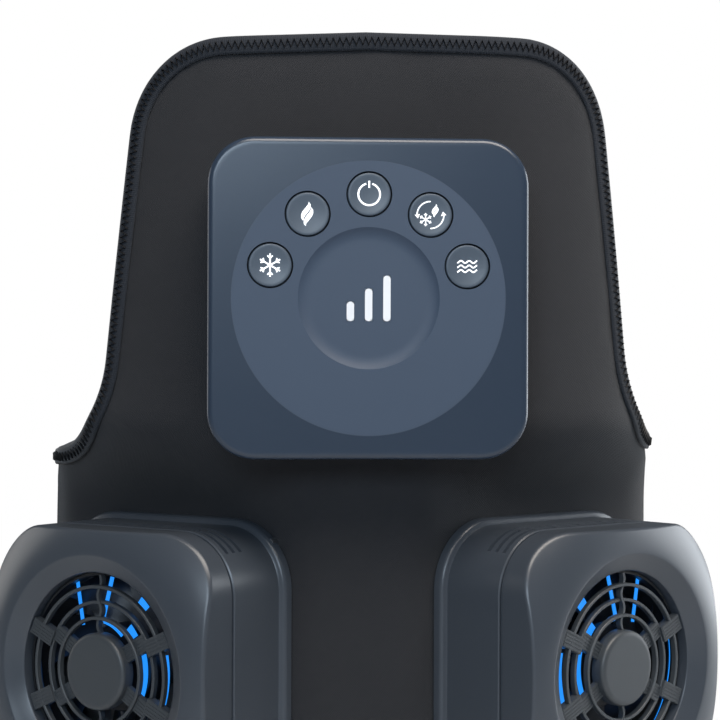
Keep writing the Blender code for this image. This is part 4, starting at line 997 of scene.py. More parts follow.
def make_straps(choices):
    webbing = ribbed_finish("elastic webbing", tuple(choices.strap_colour), 0.9 * MM)
    tape = fuzzy_finish("hook and loop tape", tuple(choices.tape_colour))
    tip = -(2 * HALF_GIRTH - STRAP_TIP)
    outside = SOFT_GAP + STRAP_THICKNESS - GAP / 2
    for name, side in (("upper", 1), ("lower", -1)):
        height = side * STRAP_HEIGHT
        free = "%s_strap_free" % name

        def lift(distance, z):
            sewn = ease((distance + STRAP_ROOT) / (2 * MM))
            return strap_lift(distance) * (1 - sewn) + outside * sewn

        band = strip(STRAP_SEWN_LENGTH - STRAP_ROOT, tip, STRAP_WIDTH, height, STRAP_TIP_RADIUS)
        strap = soft_strip(name + " strap band", band, 2.2 * MM, STRAP_THICKNESS - 0.05 * MM, lift,
                           webbing)
        start = on_wrap(-STRAP_ROOT + 3 * MM, height, outside)
        end = on_wrap(-STRAP_ROOT - 3 * MM, height, outside)
        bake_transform(strap)
        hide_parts(name + "_strap", name + "_strap_root")

        hook_start = tip + HOOK_TAB[0]
        under = SOFT_GAP + PATCH_THICKNESS + SOFT_GAP - GAP
        tab = soft_strip(name + " hook tab", strip(tip + STRAP_TIP_RADIUS / 2, hook_start, HOOK_TAB[1],
                                                   height), 4 * MM, PATCH_THICKNESS,
                         lambda distance, z: under + PATCH_THICKNESS, tape)
        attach(tab, free)
        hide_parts(name + "_hook_tab")

        start, end, width = LOOP_PATCH
        patch = soft_strip(name + " loop patch", strip(start, end, width, height), 4 * MM,
                           PATCH_THICKNESS,
                           lambda distance, z: SOFT_GAP - GAP / 2 + PATCH_THICKNESS, tape)
        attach(patch, "wrap")
        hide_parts(name + "_loop_patch")

        sewn = bmesh.new()
        inset = 3 * MM
        left, right = -STRAP_ROOT + inset + 2 * MM, STRAP_SEWN_LENGTH - STRAP_ROOT - inset
        low, high = height - STRAP_WIDTH / 2 + inset, height + STRAP_WIDTH / 2 - inset
        corners = [Vector(point) for point in ((left, low), (right, low), (right, high), (left, high))]
        above, half = outside - THREAD_SINK, choices.thread / 2
        stitches(sewn, corners, above, half, True)
        stitches(sewn, corners[::2], above, half)
        stitches(sewn, corners[1::2], above, half)
        left, right = start + PATCH_SEAM, end - PATCH_SEAM
        low, high = height - width / 2 + PATCH_SEAM, height + width / 2 - PATCH_SEAM
        edge = [Vector(point) for point in ((left, low), (right, low), (right, high), (left, high))]
        stitches(sewn, edge, SOFT_GAP + PATCH_THICKNESS - GAP / 2, half, True)
        made = piece(name + " strap stitches", sewn, thread_finish(choices), weighted=False, angle=80)
        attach(made, "wrap")


# Control


def seat_control():
    return Matrix.Translation((0, -CONTROL_FRONT, CONTROL_HEIGHT))


def rounded_edge(half, corner, radius, steps):
    """Squares down a rounded edge, as (half width, corner, depth)."""
    for index in range(steps + 1):
        turn = math.pi / 2 * index / steps
        drawn = radius * (1 - math.sin(turn))
        yield half - drawn, corner - drawn, radius * (1 - math.cos(turn))


def button_places():
    for name, degrees in BUTTONS.items():
        turn = math.radians(degrees)
        yield name, BUTTON_RING * math.sin(turn), BUTTON_RING * math.cos(turn)


def bar_outline(index, height, room, corner):
    """A level bar's outline, drawn in all round by the room."""
    x, foot = BAR_PITCH * (index - 1), -max(BAR_HEIGHTS) / 2
    left, right = x - BAR_WIDTH / 2 + room, x + BAR_WIDTH / 2 - room
    low, high = foot + room, foot + height - room
    return rounded_outline([(left, low, corner), (left, high, corner), (right, high, corner),
                            (right, low, corner)], 6)


def make_control(choices):
    steps = 240
    rings = []
    for share in spaced(1, 0, 0.08):
        depth = RECESS_DEPTH * (1 - (1 - share) ** 2.6)
        rings.append(ring_of(RECESS_RADIUS - RECESS_FILLET * share, depth, steps))
    rings.append(ring_of(RECESS_RADIUS + 0.25 * MM, 0.0, steps))
    rings.append(ring_of(ZONE_RADIUS, 0.0, steps))
    rings.append(square_ring(CONTROL_HALF - CONTROL_EDGE - 0.5 * MM, CONTROL_CORNER - CONTROL_EDGE, 0.0,
                             steps))
    for half, corner, depth in rounded_edge(CONTROL_HALF, CONTROL_CORNER, CONTROL_EDGE, 6):
        rings.append(square_ring(half, corner, depth, steps))
    inner = CONTROL_HALF - CONTROL_WALL
    rings.append(square_ring(CONTROL_HALF, CONTROL_CORNER, COVER_DEPTH, steps))
    rings.append(square_ring(inner, CONTROL_CORNER - CONTROL_WALL, COVER_DEPTH, steps))
    rings.append(square_ring(inner, CONTROL_CORNER - CONTROL_WALL, CONTROL_WALL, steps))
    bm = bmesh.new()
    loft(bm, rings, caps=True)
    bm.transform(seat_control())
    made = piece("control cover", bm, control_finish(choices))

    holes = bmesh.new()
    for _, x, z in button_places():
        turned(holes, [(BUTTON_RADIUS + GAP, -MM), (BUTTON_RADIUS + GAP, CONTROL_WALL + MM)],
               ROUND_STEPS, (x, z))
    for index, height in enumerate(BAR_HEIGHTS):
        outline = bar_outline(index, height, 0.0, BAR_WIDTH / 2.1)
        slot_rings = [[Vector((p.x, depth, p.y)) for p in outline]
                      for depth in (-MM, CONTROL_WALL + MM)]
        loft(holes, slot_rings, caps=True)
    box(holes, (-PORT_WIDTH / 2 - GAP, COVER_DEPTH - 4 * MM, -CONTROL_HALF - MM),
        (PORT_WIDTH / 2 + GAP, COVER_DEPTH + MM, -CONTROL_HALF + CONTROL_WALL + MM))
    holes.transform(seat_control())
    cut_away(made, holes)
    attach(made, "wrap")
    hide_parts("control_front_cover")

    bars = bmesh.new()
    for index, height in enumerate(BAR_HEIGHTS):
        outline = bar_outline(index, height, BAR_ROOM, (BAR_WIDTH / 2 - BAR_ROOM) * 0.95)
        loft(bars, [[Vector((p.x, depth, p.y)) for p in outline]
                    for depth in (RECESS_DEPTH + 0.05 * MM, CONTROL_WALL + 0.2 * MM)], caps=True)
    bars.transform(seat_control())
    made = piece("level bars", bars, icon_finish(choices))
    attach(made, "wrap")


def icon_finish(choices):
    found = bpy.data.materials.get("icon print with painted glow")
    if found is None:
        finish = Finish("icon print with painted glow", tuple(choices.icon_colour), 0.5)
        finish.put("Roughness", finish.grain(300.0) * 0.1 + 0.45)
        # The emission paints a soft glow on the white icon print and the level bars, so they read
        # bright.
        finish.put("Emission Color", (*choices.icon_colour, 1.0))
        finish.put("Emission Strength", 0.55)
        found = finish.material
    return found


def button_depth(radius):
    """Depth of the dished key below the cover's face."""
    dish = BUTTON_RADIUS - BUTTON_EDGE
    return BUTTON_SINK + BUTTON_DISH * (1 - min(radius / dish, 1.0) ** 2)


def stroke(bm, centre, points, widths, raised):
    """A line of an icon, printed on a key, as a thin ribbon that follows the key's dish."""
    line = [Vector(point) for point in points]
    ways = sideways(line, False)
    rings = []
    for point, way, width in zip(line, ways, widths):
        ring = []
        for side, high in ((1, -0.05 * MM), (1, raised), (-1, raised), (-1, -0.05 * MM)):
            flat = (point + way * (side * width / 2)) * MM
            ring.append(Vector((centre[0] + flat.x, button_depth(flat.length) - high,
                                centre[1] + flat.y)))
        rings.append(ring)
    loft(bm, rings, caps=True, material=1)


def arc_points(radius, start, end, count):
    for index in range(count + 1):
        turn = math.radians(start + (end - start) * index / count)
        yield radius * math.cos(turn), radius * math.sin(turn)


# The flame's two leaves in millimetres: across, up and width
LEAF = ((0.26, 2.77, 0.05), (0.42, 2.2, 0.55), (0.24, 1.6, 0.95), (-0.15, 1.0, 1.08),
        (-0.7, 0.3, 1.08), (-1.04, -0.3, 0.92), (-1.16, -0.9, 0.6), (-1.03, -1.54, 0.05))
FLAME_LEAVES = (LEAF, [(-0.18 - a, -b, width) for a, b, width in LEAF])


def icon_strokes(name, line):
    """The strokes of an icon in millimetres, as (points, widths)."""
    found = []

    def even(points, width=line):
        points = list(points)
        found.append((points, [width] * len(points)))

    def snowflake(x, z, size, width, start):
        for arm in range(6):
            turn = math.radians(start + 60 * arm)
            way = Vector((math.cos(turn), math.sin(turn)))
            across = Vector((-way.y, way.x))
            centre = Vector((x, z))
            even([centre, centre + way * size * 0.5, centre + way * size], width)
            fork = centre + way * size * 0.6
            for side in (-1, 1):
                even([fork, fork + (way + across * side) * size * 0.23], width * 0.85)

    def flame(x, z, size):
        for leaf in FLAME_LEAVES:
            found.append(([(x + a * size, z + b * size) for a, b, width in leaf],
                          [width * size for a, b, width in leaf]))

    if name == "cold":
        snowflake(0, 0, 2.65, line * 0.9, 90)
    elif name == "heat":
        flame(0, 0, 1.0)
    elif name == "power":
        even(arc_points(2.5, 106, 434, 48))
        even([(0, 1.5), (0, 2.3), (0, 3.1)])
    elif name == "vibration":
        for row in (-1, 0, 1):
            even([(x * 0.1, row * 1.05 + 0.27 * math.sin(x * 0.33)) for x in range(-23, 24)],
                 line * 0.8)
    else:
        for start in (90, 270):
            even(arc_points(3.1, start, start + 88, 20), line * 0.7)
            turn = math.radians(start + 88)
            back = Vector((math.cos(turn), math.sin(turn))) * 3.05
            tip = Vector((math.cos(turn + 0.3), math.sin(turn + 0.3))) * 3.0
            found.append(([back, tip], [1.25, 0.02]))
        snowflake(-1.1, -1.05, 1.5, line * 0.6, 90)
        flame(1.15, 1.0, 0.55)
    return found


def make_buttons(choices):
    finish = plastic_finish("button plastic", tuple(choices.button_colour), 0.4)
    icons = icon_finish(choices)
    # Near-black finish for the key's hidden flange: painted shade, so the gap round each key reads
    # black.
    dark = plastic_finish("button gap painted shade", (0.006, 0.006, 0.007), 0.7)
    dish = BUTTON_RADIUS - BUTTON_EDGE
    for name, x, z in button_places():
        profile = [(dish * share, button_depth(dish * share)) for share in spaced(0.04, 1, 0.12)]
        profile += [(dish + BUTTON_EDGE * math.sin(turn),
                     BUTTON_SINK + BUTTON_EDGE * (1 - math.cos(turn)))
                    for turn in spaced(math.pi / 8, math.pi / 2, math.pi / 8)]
        profile += [(BUTTON_RADIUS, BUTTON_FOOT - BUTTON_FLANGE),
                    (BUTTON_RADIUS + 2 * BUTTON_FLANGE, BUTTON_FOOT - BUTTON_FLANGE),
                    (BUTTON_RADIUS + 2 * BUTTON_FLANGE, BUTTON_FOOT)]
        bm = bmesh.new()
        turned(bm, profile, ROUND_STEPS, (x, z))
        for points, widths in icon_strokes(name, choices.icon_line / MM):
            stroke(bm, (x, z), points, widths, choices.icon_raise)
        # Faces of the flange behind the cover take the painted shade finish.
        for face in bm.faces:
            low = min(vert.co.y for vert in face.verts)
            if low > BUTTON_FOOT - BUTTON_FLANGE - 0.01 * MM:
                face.material_index = 2
        bm.transform(seat_control())
        made = piece(name + " key", bm, finish, icons, dark)
        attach(made, name + "_key")
        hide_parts(name + "_button")


# Side modules


def seat_module(side):
    seat = knee_point(side * MODULE_MIDDLE)
    return Matrix.Translation((seat.x, seat.y, 0)) @ Matrix.Rotation(side * PLATE_ANGLE, 4, "Z")


def dome_height(radius):
    top = OPENING_HEIGHT + DISH_RISE
    return top - max(radius - DISH_RADIUS, 0.0) ** 2 / (2 * DOME_RADIUS)


def domed_ring(half, corner, drop, steps):
    """A rounded square that lies on the cover's dome, dropped by a distance."""
    return [Vector((reach * math.cos(turn), drop - dome_height(reach), reach * math.sin(turn)))
            for turn, reach in square_reaches(half, corner, steps)]


def blended_ring(share, radius, half, corner, steps):
    """A ring on the dome between a circle and a rounded square."""
    ring = []
    for turn, square in square_reaches(half, corner, steps):
        reach = radius + (square - radius) * share
        ring.append(Vector((reach * math.cos(turn), -dome_height(reach), reach * math.sin(turn))))
    return ring


def make_cover(name, side, choices, shell):
    edge = choices.edge
    rings = [ring_of(OPENING_RADIUS, -(OPENING_HEIGHT - FACE_THICKNESS), SQUARE_STEPS),
             ring_of(OPENING_RADIUS, -(OPENING_HEIGHT - 0.3 * MM), SQUARE_STEPS),
             ring_of(OPENING_RADIUS + 0.1 * MM, -(OPENING_HEIGHT - 0.08 * MM), SQUARE_STEPS),
             ring_of(OPENING_RADIUS + 0.35 * MM, -(OPENING_HEIGHT + 0.08 * MM), SQUARE_STEPS)]
    rise = DISH_RADIUS - OPENING_RADIUS
    for share in (0.25, 0.5, 0.75, 0.92):
        climb = DISH_RISE * (0.9 * share + 0.1 * share * share)
        rings.append(ring_of(OPENING_RADIUS + rise * share, -(OPENING_HEIGHT + climb), SQUARE_STEPS))
    rings.append(ring_of(DISH_RADIUS - 0.08 * MM, -(OPENING_HEIGHT + DISH_RISE - 0.06 * MM),
                         SQUARE_STEPS))
    inside = MODULE_HALF - edge
    for share in (0.02, 0.15, 0.3, 0.45, 0.6, 0.75, 0.88, 1.0):
        rings.append(blended_ring(share, DISH_RADIUS + 0.08 * MM, inside - 0.3 * MM,
                                  MODULE_CORNER - edge, SQUARE_STEPS))
    for half, corner, depth in rounded_edge(MODULE_HALF, MODULE_CORNER, edge, 5):
        rings.append(domed_ring(half, corner, depth, SQUARE_STEPS))
    foot = [(MODULE_HALF, MODULE_CORNER, COVER_FOOT + 0.2 * MM),
            (MODULE_HALF - 0.2 * MM, MODULE_CORNER, COVER_FOOT),
            (MODULE_HALF - MODULE_WALL, MODULE_CORNER - MODULE_WALL, COVER_FOOT),
            (MODULE_HALF - MODULE_WALL, MODULE_CORNER - MODULE_WALL, OPENING_HEIGHT - FACE_THICKNESS)]
    for half, corner, height in foot:
        rings.append(square_ring(half, corner, -height, SQUARE_STEPS))
    bm = bmesh.new()
    loft(bm, rings, loop=True)
    bm.transform(seat_module(side))
    made = piece(name + " cover", bm, shell, angle=40)
    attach(made, "wrap")
    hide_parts(name + "_front_cover")


def make_housing(name, side, shell):
    wide = MODULE_HALF + FLANGE_STEP
    corner = MODULE_CORNER + FLANGE_STEP
    line = [(wide - 0.3 * MM, corner, GAP), (wide, corner, 0.6 * MM),
            (wide, corner, FLANGE_HEIGHT - 1.1 * MM),
            (wide - 0.25 * MM, corner - 0.25 * MM, FLANGE_HEIGHT - 0.4 * MM),
            (wide - 0.7 * MM, corner - 0.7 * MM, FLANGE_HEIGHT - 0.05 * MM),
            (wide - 1.1 * MM, corner - 1.1 * MM, FLANGE_HEIGHT),
            (MODULE_HALF, MODULE_CORNER, FLANGE_HEIGHT + 0.3 * MM),
            (MODULE_HALF, MODULE_CORNER, HOUSING_HEIGHT - 0.25 * MM),
            (MODULE_HALF - 0.25 * MM, MODULE_CORNER, HOUSING_HEIGHT),
            (MODULE_HALF - MODULE_WALL, MODULE_CORNER - MODULE_WALL, HOUSING_HEIGHT),
            (MODULE_HALF - MODULE_WALL, MODULE_CORNER - MODULE_WALL, GAP + HOUSING_FLOOR),
            (WINDOW_HALF, 6 * MM, GAP + HOUSING_FLOOR), (WINDOW_HALF, 6 * MM, GAP)]
    bm = bmesh.new()
    loft(bm, [square_ring(half, corner, -height, SQUARE_STEPS) for half, corner, height in line],
         loop=True)
    bm.transform(seat_module(side))
    made = piece(name + " housing", bm, shell)
    slots = bmesh.new()
    for row, shares in enumerate(VENT_BREAKS):
        height = HOUSING_HEIGHT - VENT_FROM_SEAM - VENT_PITCH * row
        ends = [-VENT_REACH] + [VENT_REACH * share for share in shares] + [VENT_REACH]
        for start, end in zip(ends, ends[1:]):
            for up in (-1, 1):
                low, high = sorted((up * VENT_DEPTH, up * (MODULE_HALF + MM)))
                box(slots, (start + VENT_BRIDGE / 2, -(height + VENT_WIDTH / 2), low),
                    (end - VENT_BRIDGE / 2, -(height - VENT_WIDTH / 2), high))
    slots.transform(seat_module(side))
    cut_away(made, slots)
    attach(made, "wrap")
    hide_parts(name + "_housing")


def make_trim(name, side, shell):
    half, corner = MODULE_HALF - TRIM_INSET, MODULE_CORNER - TRIM_INSET
    foot = HOUSING_HEIGHT + GAP
    line = [(half, corner, foot), (half, corner, foot + TRIM_THICKNESS),
            (half - TRIM_WIDTH, corner - TRIM_WIDTH, foot + TRIM_THICKNESS),
            (half - TRIM_WIDTH, corner - TRIM_WIDTH, foot)]
    bm = bmesh.new()
    loft(bm, [square_ring(half, corner, -height, SQUARE_STEPS) for half, corner, height in line],
         loop=True)
    bm.transform(seat_module(side))
    made = piece(name + " trim", bm, shell)
    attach(made, "wrap")
    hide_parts(name + "_trim_ring")


def ring_section(radius, width, low, high, edge):
    """A ring's closed section with its front corners taken off, as (radius, depth)."""
    inner, outer = radius - width / 2, radius + width / 2
    return [(inner, -low), (inner, -(high - edge)), (inner + edge, -high), (outer - edge, -high),
            (outer, -(high - edge)), (outer, -low)]


def make_grille(name, side, finish, dark):
    bm = bmesh.new()
    low = GRILLE_TOP - GRILLE_PLATE
    hub_top = OPENING_HEIGHT + HUB_PROUD
    hub = [(HUB_RADIUS - inset * MM, drop * MM - hub_top) for inset, drop in HUB_EDGE]
    turned(bm, hub + [(HUB_RADIUS, SPOKE_SINK - low)], RING_STEPS)
    for index, radius in enumerate(RING_RADII):
        wave = RING_WAVE if index % 2 == 0 else -RING_WAVE
        section = ring_section(radius, RING_WIDTH, low + wave, GRILLE_TOP + wave, 0.15 * MM)
        turned(bm, section, RING_STEPS, closed=True)
    rim = OPENING_RADIUS - GAP
    outer, foot, flange = GRILLE_FLANGE
    turned(bm, [(rim, -(flange + 0.9 * MM)), (rim, -flange), (outer, -flange), (outer, -foot),
                (rim - GRILLE_RIM_WALL / 2, -foot), (rim - GRILLE_RIM_WALL / 2, -(flange + 0.9 * MM))],
           RING_STEPS, closed=True, material=1)
    radii = (HUB_RADIUS - 0.3 * MM, *RING_RADII, rim - 0.3 * MM)
    for degrees in SPOKE_ANGLES:
        for first, last, high, turn in SPOKE_TILES:
            start, end = radii[first] - 0.2 * MM, radii[last] + 0.3 * MM
            way = turn if degrees % 180 < 90 else -turn
            verts = box(bm, (start, -(GRILLE_TOP + high), -SPOKE_WIDTH / 2),
                        (end, SPOKE_SINK - low, SPOKE_WIDTH / 2))
            turn_verts(verts, degrees + way)
            for groove in spaced(-0.4 * SPOKE_WIDTH, 0.4 * SPOKE_WIDTH, SPOKE_WIDTH * 0.2):
                rib = box(bm, (start + 0.3 * MM, -(GRILLE_TOP + high + 0.12 * MM), groove - 0.2 * MM),
                          (end - 0.3 * MM, -GRILLE_TOP + 0.5 * MM, groove + 0.2 * MM))
                turn_verts(rib, degrees + way)
    for degrees in (90, 270):
        rings = []
        for mark in spaced(HUB_RADIUS - 0.3 * MM, rim - 0.3 * MM, 0.5 * MM):
            sway = 0.55 * MM * math.sin((mark - HUB_RADIUS) / (rim - HUB_RADIUS) * 4 * math.pi)
            half = RIB_WIDTH / 2
            ring = [Vector((mark, -high, sway + across)) for across, high in
                    ((-half, low), (-half, GRILLE_TOP), (half, GRILLE_TOP), (half, low))]
            cos, sin = math.cos(math.radians(degrees)), math.sin(math.radians(degrees))
            rings.append([Vector((p.x * cos - p.z * sin, p.y, p.x * sin + p.z * cos)) for p in ring])
        loft(bm, rings, caps=True)
    bm.transform(seat_module(side))
    made = piece(name + " grille", bm, finish, dark)
    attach(made, "wrap")
    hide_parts(name + "_grille")


def arc_plate(bm, inner, outer, start, end, low, high, side):
    """A flat bow between two radii and two angles, measured on the left module."""
    marks = spaced(start, end, 4.0)
    rings = []
    for degrees in marks:
        turn = math.radians(degrees if side < 0 else 180 - degrees)
        way = Vector((math.cos(turn), 0, math.sin(turn)))
        rings.append([way * inner + Vector((0, -low, 0)), way * inner + Vector((0, -high, 0)),
                      way * outer + Vector((0, -high, 0)), way * outer + Vector((0, -low, 0))])
    loft(bm, rings, caps=True)


def make_light(name, side, glow):
    inner, outer, low, high = LIGHT_RING
    bm = bmesh.new()
    # The bows and bars below glow blue as painted reflections of the LED light on the fan blades and
    # inner wall; the ring after them is the glowing LED ring itself.
    for first, last, start, end in GLINT_BOWS:
        arc_plate(bm, first * MM, last * MM, start, end, low - 0.4 * MM, low - 0.1 * MM, side)
    for foot, tip, width in GLINT_BARS:
        ends = []
        for radius, degrees in (foot, tip):
            turn = math.radians(degrees if side < 0 else 180 - degrees)
            ends.append(Vector((radius * math.cos(turn), 0, radius * math.sin(turn))) * MM)
        run = (ends[1] - ends[0]).normalized()
        across = Vector((-run.z, 0, run.x)) * (width / 2 * MM)
        front, back = Vector((0, -low, 0)), Vector((0, -low + 0.4 * MM, 0))
        rings = [[end - across + back, end - across + front, end + across + front,
                  end + across + back] for end in ends]
        loft(bm, rings, caps=True)
    bmesh.ops.translate(bm, vec=(side * GLINT_SHIFT, 0, 0), verts=bm.verts)
    turned(bm, [(inner, -low), (inner, -high), (outer, -high), (outer, -low)], RING_STEPS,
           closed=True)
    bm.transform(seat_module(side))
    made = piece(name + " light ring", bm, glow)
    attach(made, "wrap")
    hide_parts(name + "_light_ring")


def make_rotor(name, side, dark):
    foot, top = ROTOR_HEIGHTS
    bm = bmesh.new()
    turned(bm, [(ROTOR_RADIUS - 1.2 * MM, -top), (ROTOR_RADIUS - 0.3 * MM, -(top - 0.3 * MM)),
                (ROTOR_RADIUS, -(top - MM)), (ROTOR_RADIUS, -foot)], ROUND_STEPS)
    half = BLADE_THICKNESS / 2
    for index in range(BLADE_COUNT):
        rings = []
        for out in spaced(0, 1, 0.125):
            radius = ROTOR_RADIUS - 0.4 * MM + (BLADE_TIP - ROTOR_RADIUS + 0.4 * MM) * out
            front, back = [], []
            for across in spaced(-0.5, 0.5, 0.125):
                turn = (2 * math.pi * index / BLADE_COUNT + BLADE_SWEEP * out * out
                        + BLADE_SPAN * across)
                height = BLADE_MIDDLE + BLADE_DEPTH * across
                thin = half * (1 - 0.6 * abs(2 * across) ** 2)
                x, z = radius * math.cos(turn), radius * math.sin(turn)
                front.append(Vector((x, -(height + thin), z)))
                back.append(Vector((x, -(height - thin), z)))
            rings.append(front + back[::-1])
        loft(bm, rings, caps=True)
    bm.transform(seat_module(side))
    made = piece(name + " fan rotor", bm, dark)
    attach(made, name + "_fan_wheel")
    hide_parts(name + "_fan_rotor")


def paint_frame(choices):
    """Finishes on the pieces that the frame shows as they are."""
    dark = plastic_finish("dark plastic", tuple(choices.dark_colour), 0.45)
    shell = plastic_finish("lower shell", (0.05, 0.065, 0.085), 0.45)
    white = plastic_finish("light guide plastic", (0.7, 0.72, 0.75), 0.4)
    steel = metal_finish("steel", (0.5, 0.5, 0.52), 0.32)
    aluminium = metal_finish("aluminium", (0.62, 0.63, 0.65), 0.36)
    foam = fuzzy_finish("foam", (0.05, 0.05, 0.055))
    board = plastic_finish("circuit board", (0.015, 0.09, 0.045), 0.5)
    foil = metal_finish("battery foil", (0.5, 0.5, 0.52), 0.4)
    ceramic = plastic_finish("ceramic", (0.75, 0.75, 0.73), 0.55)
    rubber = plastic_finish("keypad rubber", (0.02, 0.02, 0.022), 0.75)
    jacket = plastic_finish("cable jacket", (0.012, 0.013, 0.015), 0.55)
    rules = (("foam", foam), ("insulation", foam), ("mounting_pad", foam), ("screw", steel),
             ("port", steel), ("heat_sink", aluminium), ("cold_plate", aluminium),
             ("peltier", ceramic), ("cable", jacket), ("board", board), ("battery", foil),
             ("level_light", white), ("mat", rubber), ("back_shell", shell), ("motor", steel),
             ("weight", steel))
    for name, node in frame["nodes"].items():
        finish = dark
        for word, choice in rules:
            if word in name:
                finish = choice
                break
        node.data.materials.clear()
        node.data.materials.append(finish)


FOAM_EDGE = 0.4 * MM


def make_foam(frame):
    """Foam pieces with soft edges, made from the frame's own shapes."""
    foam = fuzzy_finish("soft foam", (0.05, 0.05, 0.055))
    for name in ("mounting_pad", "left_insulation_frame", "right_insulation_frame"):
        bm = bmesh.new()
        bm.from_mesh(frame["nodes"][name].data)
        bmesh.ops.dissolve_limit(bm, angle_limit=math.radians(2), verts=bm.verts, edges=bm.edges)
        sharp = [edge for edge in bm.edges
                 if edge.is_manifold and edge.calc_face_angle() > math.radians(40)]
        bmesh.ops.bevel(bm, geom=sharp, offset=FOAM_EDGE, offset_type="OFFSET", segments=3,
                        profile=0.5, affect="EDGES", clamp_overlap=True, material=-1)
        made = piece("soft " + name, bm, foam)
        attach(made, "wrap")
        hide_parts(name)


# Stage

CAMERA_PLACE = (-0.028, -0.487, 0.0715)
CAMERA_YAW = math.radians(3.62)
CAMERA_PITCH = math.radians(0.27)
CAMERA_ROLL = math.radians(0.2)

# Name, setting and its share, then size, place, target and tint
LAMPS = (("front_lamp", "key", 1.0, (0.6, 0.36), (-0.25, -1.3, 0.5), (0, 0, 0.09), (0.7, 0.85, 1.0)),
         ("top_lamp", "top", 1.0, (0.5, 0.25), (0.12, -0.3, 0.5), (0, -0.05, 0.08), (1.0, 0.92, 0.84)),
         ("right_rim", "rim", 1.0, (0.9, 0.6), (1.0, 0.4, 0.18), (0, 0, 0), (0.9, 0.95, 1.0)),
         ("left_rim", "rim", 0.25, (0.6, 0.6), (-0.95, 0.45, 0.2), (0, 0, 0), (1.0, 0.98, 0.95)))


def lamp(name, power, size, place, target, tint):
    data = bpy.data.lights.new(name, "AREA")
    data.energy = power
    data.shape = "RECTANGLE"
    data.size, data.size_y = size
    data.color = tint
    made = bpy.data.objects.new(name, data)
    bpy.context.scene.collection.objects.link(made)
    made.location = place
    made.rotation_mode = "QUATERNION"
    made.rotation_quaternion = (Vector(target) - Vector(place)).to_track_quat("-Z", "Y")
    return made


def make_world(strength):
    world = bpy.data.worlds.new("studio")
    world.use_nodes = True
    tree = world.node_tree
    tree.nodes.clear()
    path = tree.nodes.new("ShaderNodeLightPath")
    soft = tree.nodes.new("ShaderNodeBackground")
    soft.inputs["Color"].default_value = (0.72, 0.84, 1.0, 1.0)
    soft.inputs["Strength"].default_value = strength
    white = tree.nodes.new("ShaderNodeBackground")
    white.inputs["Color"].default_value = (1.0, 1.0, 1.0, 1.0)
    both = tree.nodes.new("ShaderNodeMixShader")
    output = tree.nodes.new("ShaderNodeOutputWorld")
    tree.links.new(path.outputs["Is Camera Ray"], both.inputs[0])
    tree.links.new(soft.outputs[0], both.inputs[1])
    tree.links.new(white.outputs[0], both.inputs[2])
    tree.links.new(both.outputs[0], output.inputs[0])
    bpy.context.scene.world = world


def make_floor(height):
    """A pale floor that takes the object's shadow and fades into white away from it."""
    bm = bmesh.new()
    bmesh.ops.create_grid(bm, x_segments=1, y_segments=1, size=4.0)
    bmesh.ops.translate(bm, vec=(0, 0, height), verts=bm.verts)
    finish = Finish("floor", (0.86, 0.87, 0.88), 0.7)
    x, y, _ = finish.axes(finish.place())
    radius = (x * x + y * y).root()
    light = finish.node("ShaderNodeEmission", None, {"Color": (1, 1, 1, 1), "Strength": 1.0})
    path = finish.node("ShaderNodeLightPath")
    seen = Number(finish.tree, path.outputs["Is Camera Ray"])
    mixed = finish.node("ShaderNodeMixShader")
    finish.tree.links.new((radius.between(0.18, 0.42) * seen).socket, mixed.inputs[0])
    finish.tree.links.new(finish.shader.outputs[0], mixed.inputs[1])
    finish.tree.links.new(light.outputs[0], mixed.inputs[2])
    output = finish.tree.nodes["Material Output"]
    finish.tree.links.new(mixed.outputs[0], output.inputs["Surface"])
    piece("floor", bm, finish.material, weighted=False)


def make_camera(choices):
    data = bpy.data.cameras.new("camera")
    data.sensor_width = 36.0
    data.lens = choices.lens
    data.clip_start, data.clip_end = 0.01, 20.0
    made = bpy.data.objects.new("camera", data)
    bpy.context.scene.collection.objects.link(made)
    made.location = CAMERA_PLACE
    flat = math.cos(CAMERA_PITCH)
    way = Vector((math.sin(CAMERA_YAW) * flat, math.cos(CAMERA_YAW) * flat, math.sin(CAMERA_PITCH)))
    made.rotation_mode = "QUATERNION"
    made.rotation_quaternion = (way.to_track_quat("-Z", "Y").to_matrix().to_4x4()
                                @ Matrix.Rotation(CAMERA_ROLL, 4, "Z")).to_quaternion()
    bpy.context.scene.camera = made


# Operators


class KNEE_OT_fabric(Operator):
    """Make the neoprene sheet of the wrap"""

    bl_idname = "knee_wrap.fabric"
    bl_label = "Wrap fabric"

    def execute(self, context):
        made, area = make_fabric(settings("cloth"))
        return {"FINISHED"}


class KNEE_OT_binding(Operator):
    """Make the folded binding tape and its zigzag seam"""

    bl_idname = "knee_wrap.binding"
    bl_label = "Edge binding"

    def execute(self, context):
        make_binding(settings("cloth"))
        return {"FINISHED"}


class KNEE_OT_straps(Operator):
    """Make the straps with their hook tabs and loop patches"""

    bl_idname = "knee_wrap.straps"
    bl_label = "Straps"

    def execute(self, context):
        make_straps(settings("cloth"))
        return {"FINISHED"}


class KNEE_OT_control(Operator):
    """Make the control's cover and level bars"""

    bl_idname = "knee_wrap.control"
    bl_label = "Control"

    def execute(self, context):
        make_control(settings("control"))
        return {"FINISHED"}


class KNEE_OT_buttons(Operator):
    """Make the five keys with their icons"""

    bl_idname = "knee_wrap.buttons"
    bl_label = "Keys"

    def execute(self, context):
        make_buttons(settings("control"))
        return {"FINISHED"}


